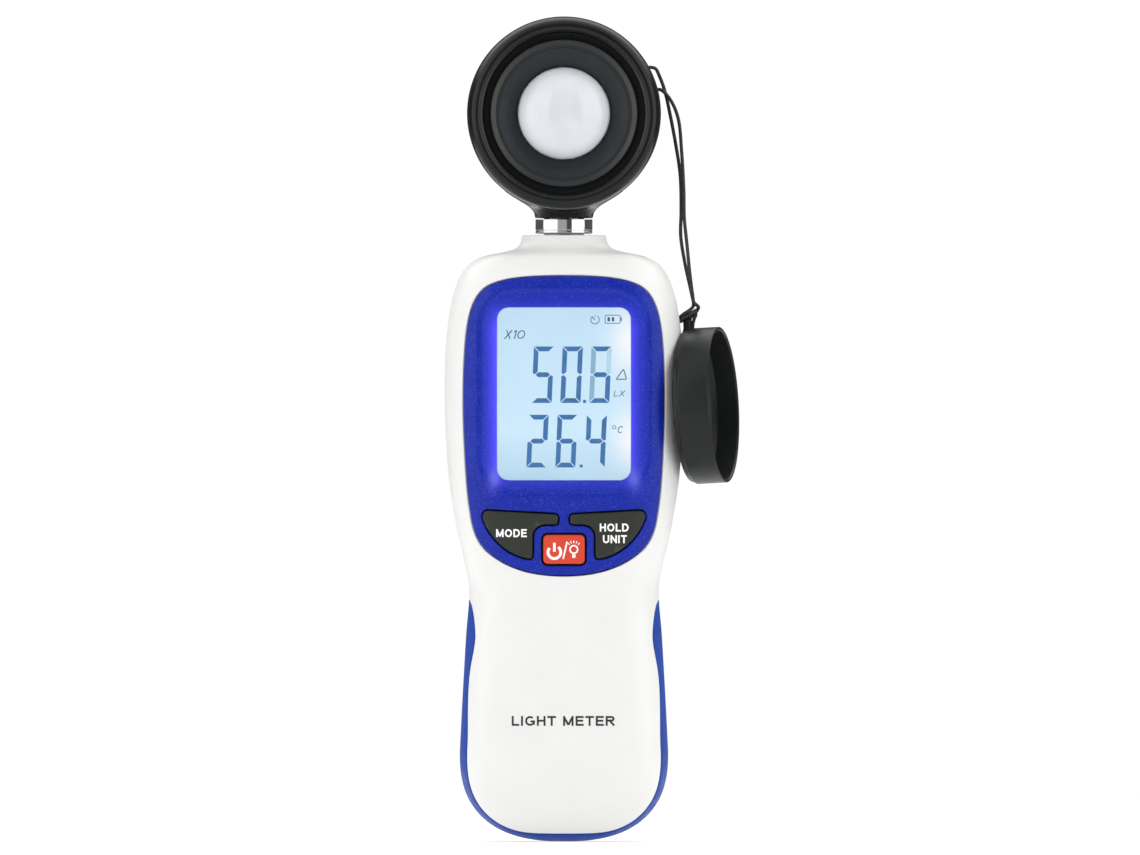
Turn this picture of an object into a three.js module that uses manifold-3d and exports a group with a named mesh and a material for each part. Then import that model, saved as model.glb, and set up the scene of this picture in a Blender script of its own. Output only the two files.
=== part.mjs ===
// Handheld light meter with a swivelling sensor head and a tethered protective cap.
// Lengths are millimetres. +Z runs from the grip up to the head, the display faces -Y and +X is
// on the right of someone reading the display. Heights in this file are counted from the bottom of
// the housing; the finished group is lowered so that the origin lies in the middle of the grip.

import * as THREE from 'three';
import { mergeVertices } from 'three/addons/utils/BufferGeometryUtils.js';
import Module from 'manifold-3d';

const wasm = await Module();
wasm.setup();

// ---- Driving dimensions ---------------------------------------------------------------------

const GRIP_HEIGHT = 35;
const GAP = 0.3;
const PARTING = 0.15;

// Housing: height, half width and half thickness from the top of the rounded bottom to the neck.
const STATIONS = [
  [20, 23.4, 14.6],
  [32, 22.8, 14.4],
  [46, 22.0, 14.2],
  [57, 21.3, 14.1],
  [63, 22.4, 14.4],
  [71, 24.2, 15.0],
  [82, 25.9, 15.7],
  [100, 26.8, 16.0],
  [114, 26.3, 16.0],
  [121.7, 25.1, 15.7],
  [127.1, 23.2, 14.6],
  [129.8, 20.6, 13.0],
  [131.4, 15.2, 11.8],
  [133.4, 11.0, 11.2],
  [135.4, 9.6, 11.4],
  [136.1, 9.2, 11.4],
];
const BOTTOM_ROUND = 20;
const BOTTOM_POWER = 2.5;
const SECTION_POWER = 8;
const SECTION_SIDES = 32;
const BOTTOM_RINGS = 6;
const WALL = 3.0;
const BACK_FLAT_Y = 15.6;

const BEZEL_THICK = 1.5;
const GRIP_THICK = 1.2;
const DOOR_THICK = 1.6;

const LCD_CENTRE = 100.45;
const LCD_SIZE = [30.2, 38.8];
const LCD_CORNER = 2.6;
const HOLDER_SIZE = [36.4, 45.2];
const LCD_FRONT = -12.7;
const DISH_DEPTH = 0.5;

const KEY_PROUD = 0.35;
const KEY_THICK = 2.6;
const PCB_FRONT = -7.4;
const PCB_THICK = 1.6;

const HEAD_HEIGHT = 163.3;
const HEAD_RADIUS = 21.75;
const HEAD_WALL = 2.0;
const HEAD_FRONT = -13.5;
const HEAD_BACK = 12.0;
const GROOVE_OUTER = 18.3;
const RING_OUTER = 16.6;
const RING_INNER = 15.0;
const DOME_RADIUS = 10.3;
const DOME_TIP = -17.6;

const COLLAR_RADIUS = 6.4;
const SPINDLE_RADIUS = 4.5;
const SPINDLE_BORE = 2.4;

const CELL_RADIUS = 5.25;
const CELL_LENGTH = 44.5;
const CELL_PITCH = 11.0;
const CELL_Y = 6.4;
const CELL_FOOT = 13.2;
const FLIPPED_CELL_FOOT = 10.2;

const CAP_RADIUS = 17.5;
const CAP_DEPTH = 8.3;
const CAP_WALL = 0.8;
const CAP_BACK_CENTRE = new THREE.Vector3(28.05, 0, 97.6);
const CAP_TURN = 12;
const CAP_TILT = 3;
const LUG_RADIUS = 1.15;
const CORD_RADIUS = 0.4;

// ---- Materials ------------------------------------------------------------------------------

const COLOURS = {
  white_abs: 0xf3f3f1,
  blue_panel: 0x2638aa,
  blue_grip: 0x325ab4,
  key_olive: 0x40413a,
  key_red: 0xe44832,
  clear_window: 0xdfeef8,
  lcd_glass: 0xbee4f5,
  white_inner: 0xe9ecef,
  head_black: 0x282a2d,
  ring_black: 0x3c3a39,
  dome_white: 0xe4e5ea,
  filter_green: 0x8fb39a,
  cap_black: 0x2d2f30,
  cord_black: 0x232425,
  chrome: 0xd8dadd,
  steel: 0xa9adb2,
  pcb_green: 0x1f6b3c,
  chip_black: 0x1c1d1f,
  cell_wrap: 0x50565e,
  cable_grey: 0x8c9096,
};
const group = new THREE.Group();
group.name = 'light_meter';

// ---- Solids ---------------------------------------------------------------------------------

// Turns a three.js geometry into a solid whose faces point outwards.
function solid(geometry) {
  const bare = geometry.clone();
  bare.deleteAttribute('normal');
  bare.deleteAttribute('uv');
  const merged = mergeVertices(bare, 1e-4);
  const points = merged.attributes.position.array;
  const corners = merged.index.array;
  const kept = [];
  let volume = 0;
  for (let at = 0; at < corners.length; at += 3) {
    const [a, b, c] = [corners[at], corners[at + 1], corners[at + 2]];
    if (a !== b && b !== c && c !== a) {
      kept.push(a, b, c);
      const [p, q, r] = [a, b, c].map((corner) => new THREE.Vector3().fromArray(points, corner * 3));
      volume += p.dot(q.cross(r));
    }
  }
  const facing = volume < 0 ? kept.reverse() : kept;
  const mesh = new wasm.Mesh({
    numProp: 3,
    vertProperties: new Float32Array(points),
    triVerts: new Uint32Array(facing),
  });
  return new wasm.Manifold(mesh);
}

function join(first, ...others) {
  return others.reduce((sum, other) => sum.add(other), first);
}

function cut(first, ...tools) {
  return tools.reduce((rest, tool) => rest.subtract(tool), first);
}

function common(first, ...others) {
  return others.reduce((rest, other) => rest.intersect(other), first);
}

function add(name, slot, shape) {
  const mesh = shape.getMesh();
  const geometry = new THREE.BufferGeometry();
  geometry.setAttribute('position', new THREE.BufferAttribute(new Float32Array(mesh.vertProperties), 3));
  geometry.setIndex(new THREE.BufferAttribute(new Uint32Array(mesh.triVerts), 1));
  geometry.computeVertexNormals();
  const piece = new THREE.Mesh(geometry, new THREE.MeshStandardMaterial({ color: COLOURS[slot], name: slot }));
  piece.name = name;
  group.add(piece);
}

function box(low, high) {
  const size = high.map((value, axis) => value - low[axis]);
  const middle = high.map((value, axis) => (value + low[axis]) / 2);
  return solid(new THREE.BoxGeometry(...size).translate(...middle));
}

// A round bar along Y, centred on x and height.
function barY(radius, from, to, x, height, sides = 16) {
  const geometry = new THREE.CylinderGeometry(radius, radius, to - from, sides);
  return solid(geometry.translate(x, (from + to) / 2, height));
}

// A round bar along Z, centred on x and y.
function barZ(radius, from, to, x = 0, y = 0, sides = 20) {
  const geometry = new THREE.CylinderGeometry(radius, radius, to - from, sides);
  return solid(geometry.rotateX(Math.PI / 2).translate(x, y, (from + to) / 2));
}

// Turns a closed outline of [radius, height] points about the Z axis.
function turnZ(outline, sides = 24) {
  const points = outline.map(([radius, height]) => new THREE.Vector2(radius, height));
  return solid(new THREE.LatheGeometry([...points, points[0]], sides).rotateX(Math.PI / 2));
}

// Turns a closed outline of [radius, y] points about the head's own horizontal axis.
function turnHead(outline, sides = 32) {
  const points = outline.map(([radius, y]) => new THREE.Vector2(radius, y));
  return solid(new THREE.LatheGeometry([...points, points[0]], sides).translate(0, 0, HEAD_HEIGHT));
}

// Extrudes a front-view outline of [x, height] points from one y to another.
function prism(outline, from, to) {
  const shape = new THREE.Shape(outline.map(([x, height]) => new THREE.Vector2(x, height)));
  const geometry = new THREE.ExtrudeGeometry(shape, { depth: to - from, bevelEnabled: false });
  return solid(geometry.rotateX(Math.PI / 2).translate(0, to, 0));
}

function tube(points, radius, steps, sides = 8) {
  const path = new THREE.CatmullRomCurve3(points, false, 'centripetal');
  const ring = new THREE.Shape();
  for (let side = 0; side < sides; side += 1) {
    const angle = (side / sides) * Math.PI * 2;
    const corner = [radius * Math.cos(angle), radius * Math.sin(angle)];
    if (side === 0) ring.moveTo(...corner);
    else ring.lineTo(...corner);
  }
  ring.closePath();
  return solid(new THREE.ExtrudeGeometry(ring, { steps, bevelEnabled: false, extrudePath: path }));
}

// ---- Outlines -------------------------------------------------------------------------------

function outlineOf(shape, divisions = 6) {
  return shape.getPoints(divisions).map((point) => [point.x, point.y]);
}

// Moves every point of a closed outline outwards by the same distance.
function grow(outline, distance) {
  const points = outline.map(([x, y]) => new THREE.Vector2(x, y));
  if (points[0].distanceTo(points[points.length - 1]) < 1e-6) points.pop();
  const turn = THREE.ShapeUtils.isClockWise(points) ? -1 : 1;
  return points.map((point, index) => {
    const before = points[(index + points.length - 1) % points.length];
    const after = points[(index + 1) % points.length];
    const arriving = point.clone().sub(before).normalize();
    const leaving = after.clone().sub(point).normalize();
    const along = arriving.clone().add(leaving).normalize();
    const reach = distance / Math.max(along.dot(leaving), 0.5);
    return [point.x + along.y * reach * turn, point.y - along.x * reach * turn];
  });
}

function roundedRect(width, height, centre, radius) {
  const [x, y] = [width / 2, height / 2];
  const shape = new THREE.Shape();
  shape.absarc(x - radius, centre + y - radius, radius, 0, Math.PI / 2);
  shape.absarc(radius - x, centre + y - radius, radius, Math.PI / 2, Math.PI);
  shape.absarc(radius - x, centre - y + radius, radius, Math.PI, Math.PI * 1.5);
  shape.absarc(x - radius, centre - y + radius, radius, Math.PI * 1.5, Math.PI * 2);
  return outlineOf(shape, 4);
}

function mirrored(outline) {
  return outline.map(([x, height]) => [-x, height]).reverse();
}

function bezelOutline() {
  const half = new THREE.Path();
  half.moveTo(0, 59.4);
  half.bezierCurveTo(7.5, 59.4, 13, 61.2, 17.4, 65.0);
  half.bezierCurveTo(19.5, 67.0, 20.5, 69.5, 21.0, 73.5);
  half.bezierCurveTo(21.6, 77.0, 21.9, 81.0, 22.2, 87.0);
  half.bezierCurveTo(22.7, 96.0, 22.7, 104.0, 22.1, 112.1);
  half.bezierCurveTo(21.6, 118.0, 20.5, 122.8, 17.2, 124.7);
  half.bezierCurveTo(14, 126.5, 9, 127.1, 0, 127.1);
  const right = outlineOf(half, 4);
  return [...right, ...mirrored(right).slice(1, -1)];
}

function modeKeyOutline() {
  const shape = new THREE.Shape();
  shape.moveTo(-17.2, 74.0);
  shape.quadraticCurveTo(-18.4, 73.8, -18.2, 72.4);
  shape.bezierCurveTo(-16.6, 67.8, -12.8, 64.0, -7.9, 63.2);
  shape.quadraticCurveTo(-7.1, 63.1, -7.05, 63.9);
  shape.lineTo(-7.05, 68.6);
  shape.quadraticCurveTo(-6.6, 70.8, -4.0, 70.95);
  shape.lineTo(-2.0, 70.95);
  shape.quadraticCurveTo(-1.35, 71.0, -1.35, 71.6);
  shape.lineTo(-1.35, 72.5);
  shape.quadraticCurveTo(-1.4, 73.1, -2.0, 73.2);
  return outlineOf(shape, 4);
}

const BEZEL = bezelOutline();
const MODE_KEY = modeKeyOutline();
const HOLD_KEY = mirrored(MODE_KEY);
const POWER_KEY = roundedRect(9.5, 6.6, 65.4, 0.95);
const DOOR = roundedRect(35.6, 46.2, 37.1, 3);

// ---- Housing skin ---------------------------------------------------------------------------

// Points down one side of the housing: half width, half thickness and height.
function housingSide() {
  const side = [];
  for (let ring = 1; ring < BOTTOM_RINGS; ring += 1) {
    const turn = (ring / BOTTOM_RINGS) * (Math.PI / 2);
    const out = Math.sin(turn) ** (2 / BOTTOM_POWER);
    const drop = Math.cos(turn) ** (2 / BOTTOM_POWER);
    side.push(new THREE.Vector3(STATIONS[0][1] * out, STATIONS[0][2] * out, BOTTOM_ROUND * (1 - drop)));
  }
  const upper = STATIONS.map(([height, width, thickness]) => new THREE.Vector3(width, thickness, height));
  return [...side, ...upper];
}

// The same side moved inwards by a distance, square to the surface.
function insetSide(side, distance) {
  return side.map((point, index) => {
    const before = side[Math.max(index - 1, 0)];
    const after = side[Math.min(index + 1, side.length - 1)];
    const rise = after.z - before.z;
    const wide = new THREE.Vector2(rise, before.x - after.x).normalize();
    const thick = new THREE.Vector2(rise, before.y - after.y).normalize();
    return new THREE.Vector3(
      Math.max(point.x - distance * wide.x, 0.5),
      Math.max(point.y - distance * thick.x, 0.5),
      point.z - distance * wide.y,
    );
  });
}

// The section is a circle of the half width, flattened front and back at the half thickness.
function sectionPoint(station, angle) {
  const flat = Math.abs(Math.sin(angle)) / station.y;
  const radius = (station.x ** -SECTION_POWER + flat ** SECTION_POWER) ** (-1 / SECTION_POWER);
  return new THREE.Vector3(radius * Math.cos(angle), radius * Math.sin(angle), station.z);
}

function loft(side, sides) {
  const points = [new THREE.Vector3(0, 0, side[0].z)];
  side.forEach((station) => {
    for (let corner = 0; corner < sides; corner += 1) {
      points.push(sectionPoint(station, (corner / sides) * Math.PI * 2));
    }
  });
  points.push(new THREE.Vector3(0, 0, side[side.length - 1].z));
  const faces = [];
  const at = (ring, corner) => 1 + ring * sides + (corner % sides);
  for (let corner = 0; corner < sides; corner += 1) {
    faces.push(0, at(0, corner + 1), at(0, corner));
    for (let ring = 0; ring < side.length - 1; ring += 1) {
      faces.push(at(ring, corner), at(ring, corner + 1), at(ring + 1, corner + 1));
      faces.push(at(ring, corner), at(ring + 1, corner + 1), at(ring + 1, corner));
    }
    faces.push(points.length - 1, at(side.length - 1, corner), at(side.length - 1, corner + 1));
  }
  const geometry = new THREE.BufferGeometry().setFromPoints(points);
  geometry.setIndex(faces);
  return solid(geometry);
}

const SIDE = housingSide();
const SHOULDER = SIDE.filter((station) => station.x > 12 || station.z < 20);

function housing(inset) {
  return loft(insetSide(inset > 1 ? SHOULDER : SIDE, inset), SECTION_SIDES);
}

function housingCavity() {
  return loft(insetSide(SHOULDER, WALL), 20);
}

const OUTER = housing(0);
const FRONT_HALF = box([-40, -40, -5], [40, -PARTING, 140]);
const REAR_HALF = box([-40, PARTING, -5], [40, 40, 140]);

// A sheet that follows the housing's surface inside an outline, between two insets.
function frontSheet(outline, outerInset, innerInset) {
  const block = common(prism(outline, -25, -PARTING), housing(outerInset));
  return cut(block, housing(innerInset));
}

function rearSheet(outline, outerInset, innerInset) {
  const block = common(prism(outline, PARTING, 25), housing(outerInset));
  return cut(block, housing(innerInset));
}

// ---- Grip band ------------------------------------------------------------------------------

// Side view of the soft band: half width against height, narrowest under the forefinger.
function gripOutline(extra) {
  const half = new THREE.SplineCurve([
    [0, 54.4 + extra],
    [5.5 + extra, 52.6 + extra],
    [8.8 + extra, 46.5],
    [7.0 + extra, 36],
    [8.2 + extra, 21],
    [7.6 + extra, 8],
    [7.4 + extra, -2],
  ].map(([y, height]) => new THREE.Vector2(y, height)));
  const right = half.getPoints(10).map((point) => [point.x, point.y]);
  return [...right, ...mirrored(right).slice(0, -1)];
}

function gripBlock(extra) {
  const shape = new THREE.Shape(gripOutline(extra).map(([y, height]) => new THREE.Vector2(y, height)));
  const geometry = new THREE.ExtrudeGeometry(shape, { depth: 60, bevelEnabled: false });
  geometry.rotateX(Math.PI / 2).rotateZ(Math.PI / 2);
  geometry.computeBoundingBox();
  const middle = (geometry.boundingBox.min.x + geometry.boundingBox.max.x) / 2;
  return solid(geometry.translate(-middle, 0, 0));
}

const GRIP_RECESS = cut(gripBlock(0.25), housing(GRIP_THICK + 0.2));
add('grip_band', 'blue_grip', cut(common(gripBlock(0), OUTER), housing(GRIP_THICK)));

// ---- Housing shells -------------------------------------------------------------------------

const CAVITY = housingCavity();
const NECK_BORE = barZ(SPINDLE_RADIUS + GAP, 120, 140);
const HOUSING_SCREWS = [[-15, 127], [15, 127], [-9, 6.4], [9, 6.4]];
const SCREW_SEAT = 7.8;
const PCB_SCREWS = [[-13, 56.6], [13, 56.6]];

function frontBosses() {
  const inside = housing(1.2);
  const posts = HOUSING_SCREWS.map(([x, height]) => barY(2.5, -13, -PARTING, x, height, 12));
  const pcbPosts = PCB_SCREWS.map(([x, height]) => barY(2.4, -13, PCB_FRONT - GAP, x, height, 12));
  return [...posts, ...pcbPosts].map((post) => common(post, inside));
}

function frontHoles() {
  const housingHoles = HOUSING_SCREWS.map(([x, height]) => barY(1.3, -6.5, 0, x, height, 10));
  const pcbHoles = PCB_SCREWS.map(([x, height]) => barY(1.2, -11.5, PCB_FRONT, x, height, 10));
  return [...housingHoles, ...pcbHoles];
}

function frontShell() {
  const bare = cut(common(OUTER, FRONT_HALF), CAVITY);
  const recess = cut(prism(grow(BEZEL, 0.25), -25, -PARTING), housing(BEZEL_THICK + GAP));
  const display = prism(roundedRect(HOLDER_SIZE[0] + 0.8, HOLDER_SIZE[1] + 0.8, LCD_CENTRE, 0.6), -25, -3);
  const keys = [MODE_KEY, HOLD_KEY, POWER_KEY].map((outline) => prism(grow(outline, 1.1), -25, -5));
  return cut(join(bare, ...frontBosses()), recess, display, ...keys, GRIP_RECESS, NECK_BORE, ...frontHoles());
}

add('front_shell', 'white_abs', frontShell());

const TRAY_LOW = [-17, 0.85, 9];
const TRAY_HIGH = [17, 20, 58.9];
const TRAY_WALL = 1.3;
const DOOR_GAP = 0.35;

function rearBosses() {
  const inside = housing(1.2);
  return HOUSING_SCREWS.map(([x, height]) => common(barY(2.5, PARTING, 16, x, height, 12), inside));
}

function rearHoles() {
  return HOUSING_SCREWS.flatMap(([x, height]) => [
    barY(1.4, 0, 20, x, height, 10),
    barY(2.3, SCREW_SEAT, 20, x, height, 14),
  ]);
}

function rearShell() {
  const bare = cut(common(OUTER, REAR_HALF), CAVITY);
  const low = [TRAY_LOW[0] - TRAY_WALL, 0.3, TRAY_LOW[2] - TRAY_WALL];
  const high = [TRAY_HIGH[0] + TRAY_WALL, 20, TRAY_HIGH[2] + TRAY_WALL];
  const tray = common(box(low, high), housing(DOOR_THICK));
  const pocket = common(box(TRAY_LOW, TRAY_HIGH), housing(DOOR_THICK + GAP));
  const mouth = common(box(TRAY_LOW, TRAY_HIGH), prism(grow(DOOR, DOOR_GAP), PARTING, 25));
  const seat = cut(prism(grow(DOOR, DOOR_GAP), PARTING, 25), housing(DOOR_THICK + GAP));
  const flat = box([-30, BACK_FLAT_Y, 60], [30, 30, 125]);
  const filled = join(bare, tray, ...rearBosses());
  return cut(filled, pocket, mouth, seat, flat, GRIP_RECESS, NECK_BORE, ...rearHoles());
}

add('rear_shell', 'white_abs', rearShell());

function batteryDoor() {
  const sheet = rearSheet(DOOR, 0, DOOR_THICK);
  const thumb = new THREE.SphereGeometry(9, 16, 10).scale(1, 1, 0.55).translate(0, 22.2, 53.5);
  return cut(sheet, solid(thumb));
}

add('battery_door', 'white_abs', batteryDoor());

// ---- Display bezel and keys -----------------------------------------------------------------

// A flat block centred on the display, from one y to another.
function plate(width, tall, from, to) {
  const low = [-width / 2, from, LCD_CENTRE - tall / 2];
  return box(low, [width / 2, to, LCD_CENTRE + tall / 2]);
}

function displayBezel() {
  const sheet = frontSheet(BEZEL, 0, BEZEL_THICK);
  const dish = cut(prism(roundedRect(37.6, 45.8, LCD_CENTRE, 7), -25, -5), housing(DISH_DEPTH));
  const back = plate(HOLDER_SIZE[0] + 0.8, HOLDER_SIZE[1] + 0.8, LCD_FRONT - GAP, 0);
  const window = prism(roundedRect(...LCD_SIZE, LCD_CENTRE, LCD_CORNER), -25, -5);
  const keys = [MODE_KEY, HOLD_KEY, POWER_KEY].map((outline) => prism(grow(outline, GAP), -25, -5));
  return cut(sheet, dish, back, window, ...keys);
}

add('display_bezel', 'blue_panel', displayBezel());

// A key stands a little proud of the bezel and has a flange under it that holds it in.
function key(outline) {
  const top = frontSheet(outline, -KEY_PROUD, KEY_THICK);
  const flange = frontSheet(grow(outline, 0.7), BEZEL_THICK + 0.4, KEY_THICK);
  return join(top, flange);
}

add('mode_key', 'key_olive', key(MODE_KEY));
add('hold_key', 'key_olive', key(HOLD_KEY));
add('power_key', 'key_red', key(POWER_KEY));

// ---- Display stack --------------------------------------------------------------------------

const [LCD_WIDTH, LCD_TALL] = LCD_SIZE;
const WINDOW = roundedRect(LCD_WIDTH - 0.5, LCD_TALL - 0.5, LCD_CENTRE, LCD_CORNER - 0.25);
add('lcd_window', 'clear_window', prism(WINDOW, -14.75, -13.85));

add('lcd_glass', 'lcd_glass', plate(33, 41.8, LCD_FRONT, -10.5));
add('lcd_backlight', 'white_inner', plate(33, 41.8, -10.2, -8.0));
add('lcd_holder', 'white_inner', cut(plate(...HOLDER_SIZE, LCD_FRONT, -7.8), plate(33.6, 42.4, -20, 0)));

// ---- Circuit board --------------------------------------------------------------------------

const PCB_EDGE = [[14, 53], [18.6, 76], [19.2, 84], [19.2, 117], [16.5, 122.5]];
const PCB = [...PCB_EDGE, ...mirrored(PCB_EDGE)];
const PCB_BACK = PCB_FRONT + PCB_THICK;
const PCB_HOLES = PCB_SCREWS.map(([x, height]) => barY(1.3, -12, 0, x, height, 10));
add('main_pcb', 'pcb_green', cut(prism(PCB, PCB_FRONT, PCB_BACK), ...PCB_HOLES));
add('mcu_chip', 'chip_black', box([-6, PCB_BACK + GAP, 90], [6, PCB_BACK + 1.9, 102]));
add('thermistor', 'chip_black', barY(1.3, PCB_BACK + GAP, PCB_BACK + 3.2, 13, 84, 10));

function tactSwitch(x, height) {
  const front = PCB_FRONT - GAP;
  const body = box([x - 3, front - 2.5, height - 3], [x + 3, front, height + 3]);
  return join(body, barY(1.6, front - 3.2, front - 2, x, height, 12));
}

add('mode_switch', 'chip_black', tactSwitch(-11.5, 69));
add('hold_switch', 'chip_black', tactSwitch(11.5, 69));
add('power_switch', 'chip_black', tactSwitch(0, 65.4));

// A pan-head screw along Y whose head is at the larger y.
function screw(headY, headHeight, tipY, x, height) {
  const shank = barY(1.0, tipY, headY, x, height, 8);
  const head = barY(1.9, headY, headY + headHeight, x, height, 10);
  const slot = box([x - 1.3, headY + 0.7, height - 0.25], [x + 1.3, headY + 3, height + 0.25]);
  const cross = box([x - 0.25, headY + 0.7, height - 1.3], [x + 0.25, headY + 3, height + 1.3]);
  return cut(join(shank, head), slot, cross);
}

PCB_SCREWS.forEach(([x, height], index) => {
  add(`pcb_screw_${index + 1}`, 'steel', screw(PCB_BACK + GAP, 1.4, -11, x, height));
});
HOUSING_SCREWS.forEach(([x, height], index) => {
  add(`housing_screw_${index + 1}`, 'steel', screw(SCREW_SEAT + 0.2, 1.4, -6, x, height));
});

// ---- Cells and contacts ---------------------------------------------------------------------

function cell(x, upright) {
  const profile = [
    [0, 0], [CELL_RADIUS - 0.4, 0], [CELL_RADIUS, 0.4], [CELL_RADIUS, CELL_LENGTH - 1.5],
    [CELL_RADIUS - 0.5, CELL_LENGTH - 1], [1.9, CELL_LENGTH - 1], [1.9, CELL_LENGTH], [0, CELL_LENGTH],
  ];
  const placed = profile.map(([radius, height]) => new THREE.Vector2(radius, height));
  const geometry = new THREE.LatheGeometry([...placed, placed[0]], 20).rotateX(Math.PI / 2);
  if (!upright) geometry.rotateX(Math.PI).translate(0, 0, CELL_LENGTH);
  return solid(geometry.translate(x, CELL_Y, upright ? CELL_FOOT : FLIPPED_CELL_FOOT));
}

function spring(x, foot, rise, direction) {
  const turns = 2.5;
  const points = [];
  for (let step = 0; step <= turns * 8; step += 1) {
    const angle = (step / 8) * Math.PI * 2;
    const radius = 3.6 - 0.055 * step;
    const height = foot + direction * (step / (turns * 8)) * rise;
    points.push(new THREE.Vector3(x + radius * Math.cos(angle), CELL_Y + radius * Math.sin(angle), height));
  }
  return tube(points, 0.3, 26, 5);
}

function contactPlate(x, from) {
  return box([x - 3.6, CELL_Y - 3.8, from], [x + 3.6, CELL_Y + 3.8, from + 0.4]);
}

const CELL_TOP = CELL_FOOT + CELL_LENGTH;
[-1, 0, 1].forEach((place, index) => {
  const x = place * CELL_PITCH;
  const upright = index % 2 === 0;
  const plateFoot = upright ? CELL_TOP + 0.35 : FLIPPED_CELL_FOOT - 0.75;
  const springFoot = upright ? TRAY_LOW[2] + 0.7 : TRAY_HIGH[2] - 0.7;
  add(`cell_${index + 1}`, 'cell_wrap', cell(x, upright));
  add(`cell_plate_${index + 1}`, 'steel', contactPlate(x, plateFoot));
  add(`cell_spring_${index + 1}`, 'steel', spring(x, springFoot, 2.5, upright ? 1 : -1));
});

// ---- Swivel ---------------------------------------------------------------------------------

function swivelSpindle() {
  return turnZ([
    [SPINDLE_BORE, 125], [SPINDLE_RADIUS, 125], [SPINDLE_RADIUS, 126.1], [3.9, 126.1], [3.9, 127.1],
    [SPINDLE_RADIUS, 127.1], [SPINDLE_RADIUS, 136.4], [COLLAR_RADIUS - 0.3, 136.4], [COLLAR_RADIUS, 136.8],
    [COLLAR_RADIUS, 139.6], [SPINDLE_RADIUS, 139.6], [SPINDLE_RADIUS, 144.8], [5.6, 144.8], [5.6, 146.2],
    [SPINDLE_BORE, 146.2],
  ]);
}

add('swivel_spindle', 'chrome', swivelSpindle());
add('spindle_clip', 'steel', turnZ([[4.1, 126.3], [6.6, 126.3], [6.6, 126.9], [4.1, 126.9]], 20));
add('spindle_washer', 'steel', turnZ([[4.85, 127.3], [7.2, 127.3], [7.2, 128], [4.85, 128]], 20));

// ---- Head -----------------------------------------------------------------------------------

// The neck flares into the round head; inside the head's own wall it is left to the shells.
function headNeck(side) {
  const flare = new THREE.SplineCurve([
    [6.5, 139.9], [6.7, 141.2], [7.7, 143.2], [9.6, 145.2], [12.4, 147.3],
  ].map(([radius, height]) => new THREE.Vector2(radius, height)));
  const profile = flare.getPoints(6).map((point) => [point.x, point.y]);
  const bell = turnZ([[0, 139.9], ...profile, [0, 147.3]], 28);
  const half = side < 0 ? box([-20, -11.5, 139], [20, -PARTING, 150]) : box([-20, PARTING, 139], [20, 10.5, 150]);
  const clear = barY(HEAD_RADIUS - HEAD_WALL - 0.2, -30, 30, 0, HEAD_HEIGHT, 40);
  const bore = barZ(SPINDLE_RADIUS + GAP, 130, 150);
  return cut(common(bell, half), clear, bore);
}

const HEAD_SCREWS = [30, 150, 270].map((degrees) => {
  const angle = THREE.MathUtils.degToRad(degrees + 60);
  return [16.4 * Math.cos(angle), HEAD_HEIGHT + 16.4 * Math.sin(angle)];
});
const HEAD_BORE = join(barZ(SPINDLE_RADIUS + GAP, 130, 150), barZ(5.9, 144.3, 150));
const SHELF_FRONT = -9.0;
const SHELF_BACK = -7.2;

function headFrontShell() {
  const inner = HEAD_RADIUS - HEAD_WALL;
  const rim = turnHead([
    [11.6, SHELF_FRONT], [GROOVE_OUTER, SHELF_FRONT], [GROOVE_OUTER, -12.0], [18.7, -12.9],
    [19.6, HEAD_FRONT], [20.5, -13.2], [21.3, -12.1], [21.65, -10.4], [HEAD_RADIUS, -8],
    [HEAD_RADIUS, -PARTING], [inner, -PARTING], [inner, SHELF_BACK], [11.6, SHELF_BACK],
  ]);
  const posts = HEAD_SCREWS.map(([x, height]) => barY(2.3, SHELF_BACK - 0.5, -PARTING, x, height, 12));
  const holes = HEAD_SCREWS.map(([x, height]) => barY(1.3, -6.5, 1, x, height, 10));
  return cut(join(rim, headNeck(-1), ...posts), ...holes, HEAD_BORE);
}

add('head_front_shell', 'head_black', headFrontShell());

// Part of a ring about the head's axis, from one angle to another.
function headSector(inner, outer, fromDegrees, toDegrees, fromY, toY) {
  const [from, to] = [fromDegrees, toDegrees].map(THREE.MathUtils.degToRad);
  const shape = new THREE.Shape();
  shape.absarc(0, HEAD_HEIGHT, outer, from, to, false);
  shape.absarc(0, HEAD_HEIGHT, inner, to, from, true);
  return prism(outlineOf(shape, 5), fromY, toY);
}

const SLOT_Y = 2.4;
const SLOT_LOW = 14.5;
const SLOT_HIGH = 30;

// The cord runs behind a bridge in the rim, in at one end of the slot and out at the other.
function lanyardSlot() {
  const [near, far] = [SLOT_Y - 0.8, SLOT_Y + 0.8];
  return join(
    headSector(18.6, 20.2, SLOT_LOW - 2.2, SLOT_HIGH + 2.2, near, far),
    headSector(18.6, 23, SLOT_LOW - 2.2, SLOT_LOW + 2.2, near, far),
    headSector(18.6, 23, SLOT_HIGH - 2.2, SLOT_HIGH + 2.2, near, far),
  );
}

function headRearShell() {
  const inner = HEAD_RADIUS - HEAD_WALL;
  const dish = turnHead([
    [0, HEAD_BACK], [15.5, HEAD_BACK], [18.6, 11.3], [20.8, 9.2], [21.6, 6.6], [HEAD_RADIUS, 4],
    [HEAD_RADIUS, PARTING], [inner, PARTING], [inner, 5.5], [18.6, 8.4], [16, HEAD_BACK - HEAD_WALL],
    [0, HEAD_BACK - HEAD_WALL],
  ]);
  const posts = HEAD_SCREWS.map(([x, height]) => barY(2.9, PARTING, 11, x, height, 12));
  const holes = HEAD_SCREWS.flatMap(([x, height]) => [
    barY(1.3, 0, 14, x, height, 10),
    barY(2.2, 8.2, 14, x, height, 12),
  ]);
  const pad = headSector(17.2, HEAD_RADIUS - 0.6, SLOT_LOW - 5, SLOT_HIGH + 5, PARTING, SLOT_Y + 2.1);
  return cut(join(dish, headNeck(1), ...posts, pad), ...holes, HEAD_BORE, lanyardSlot());
}

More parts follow.
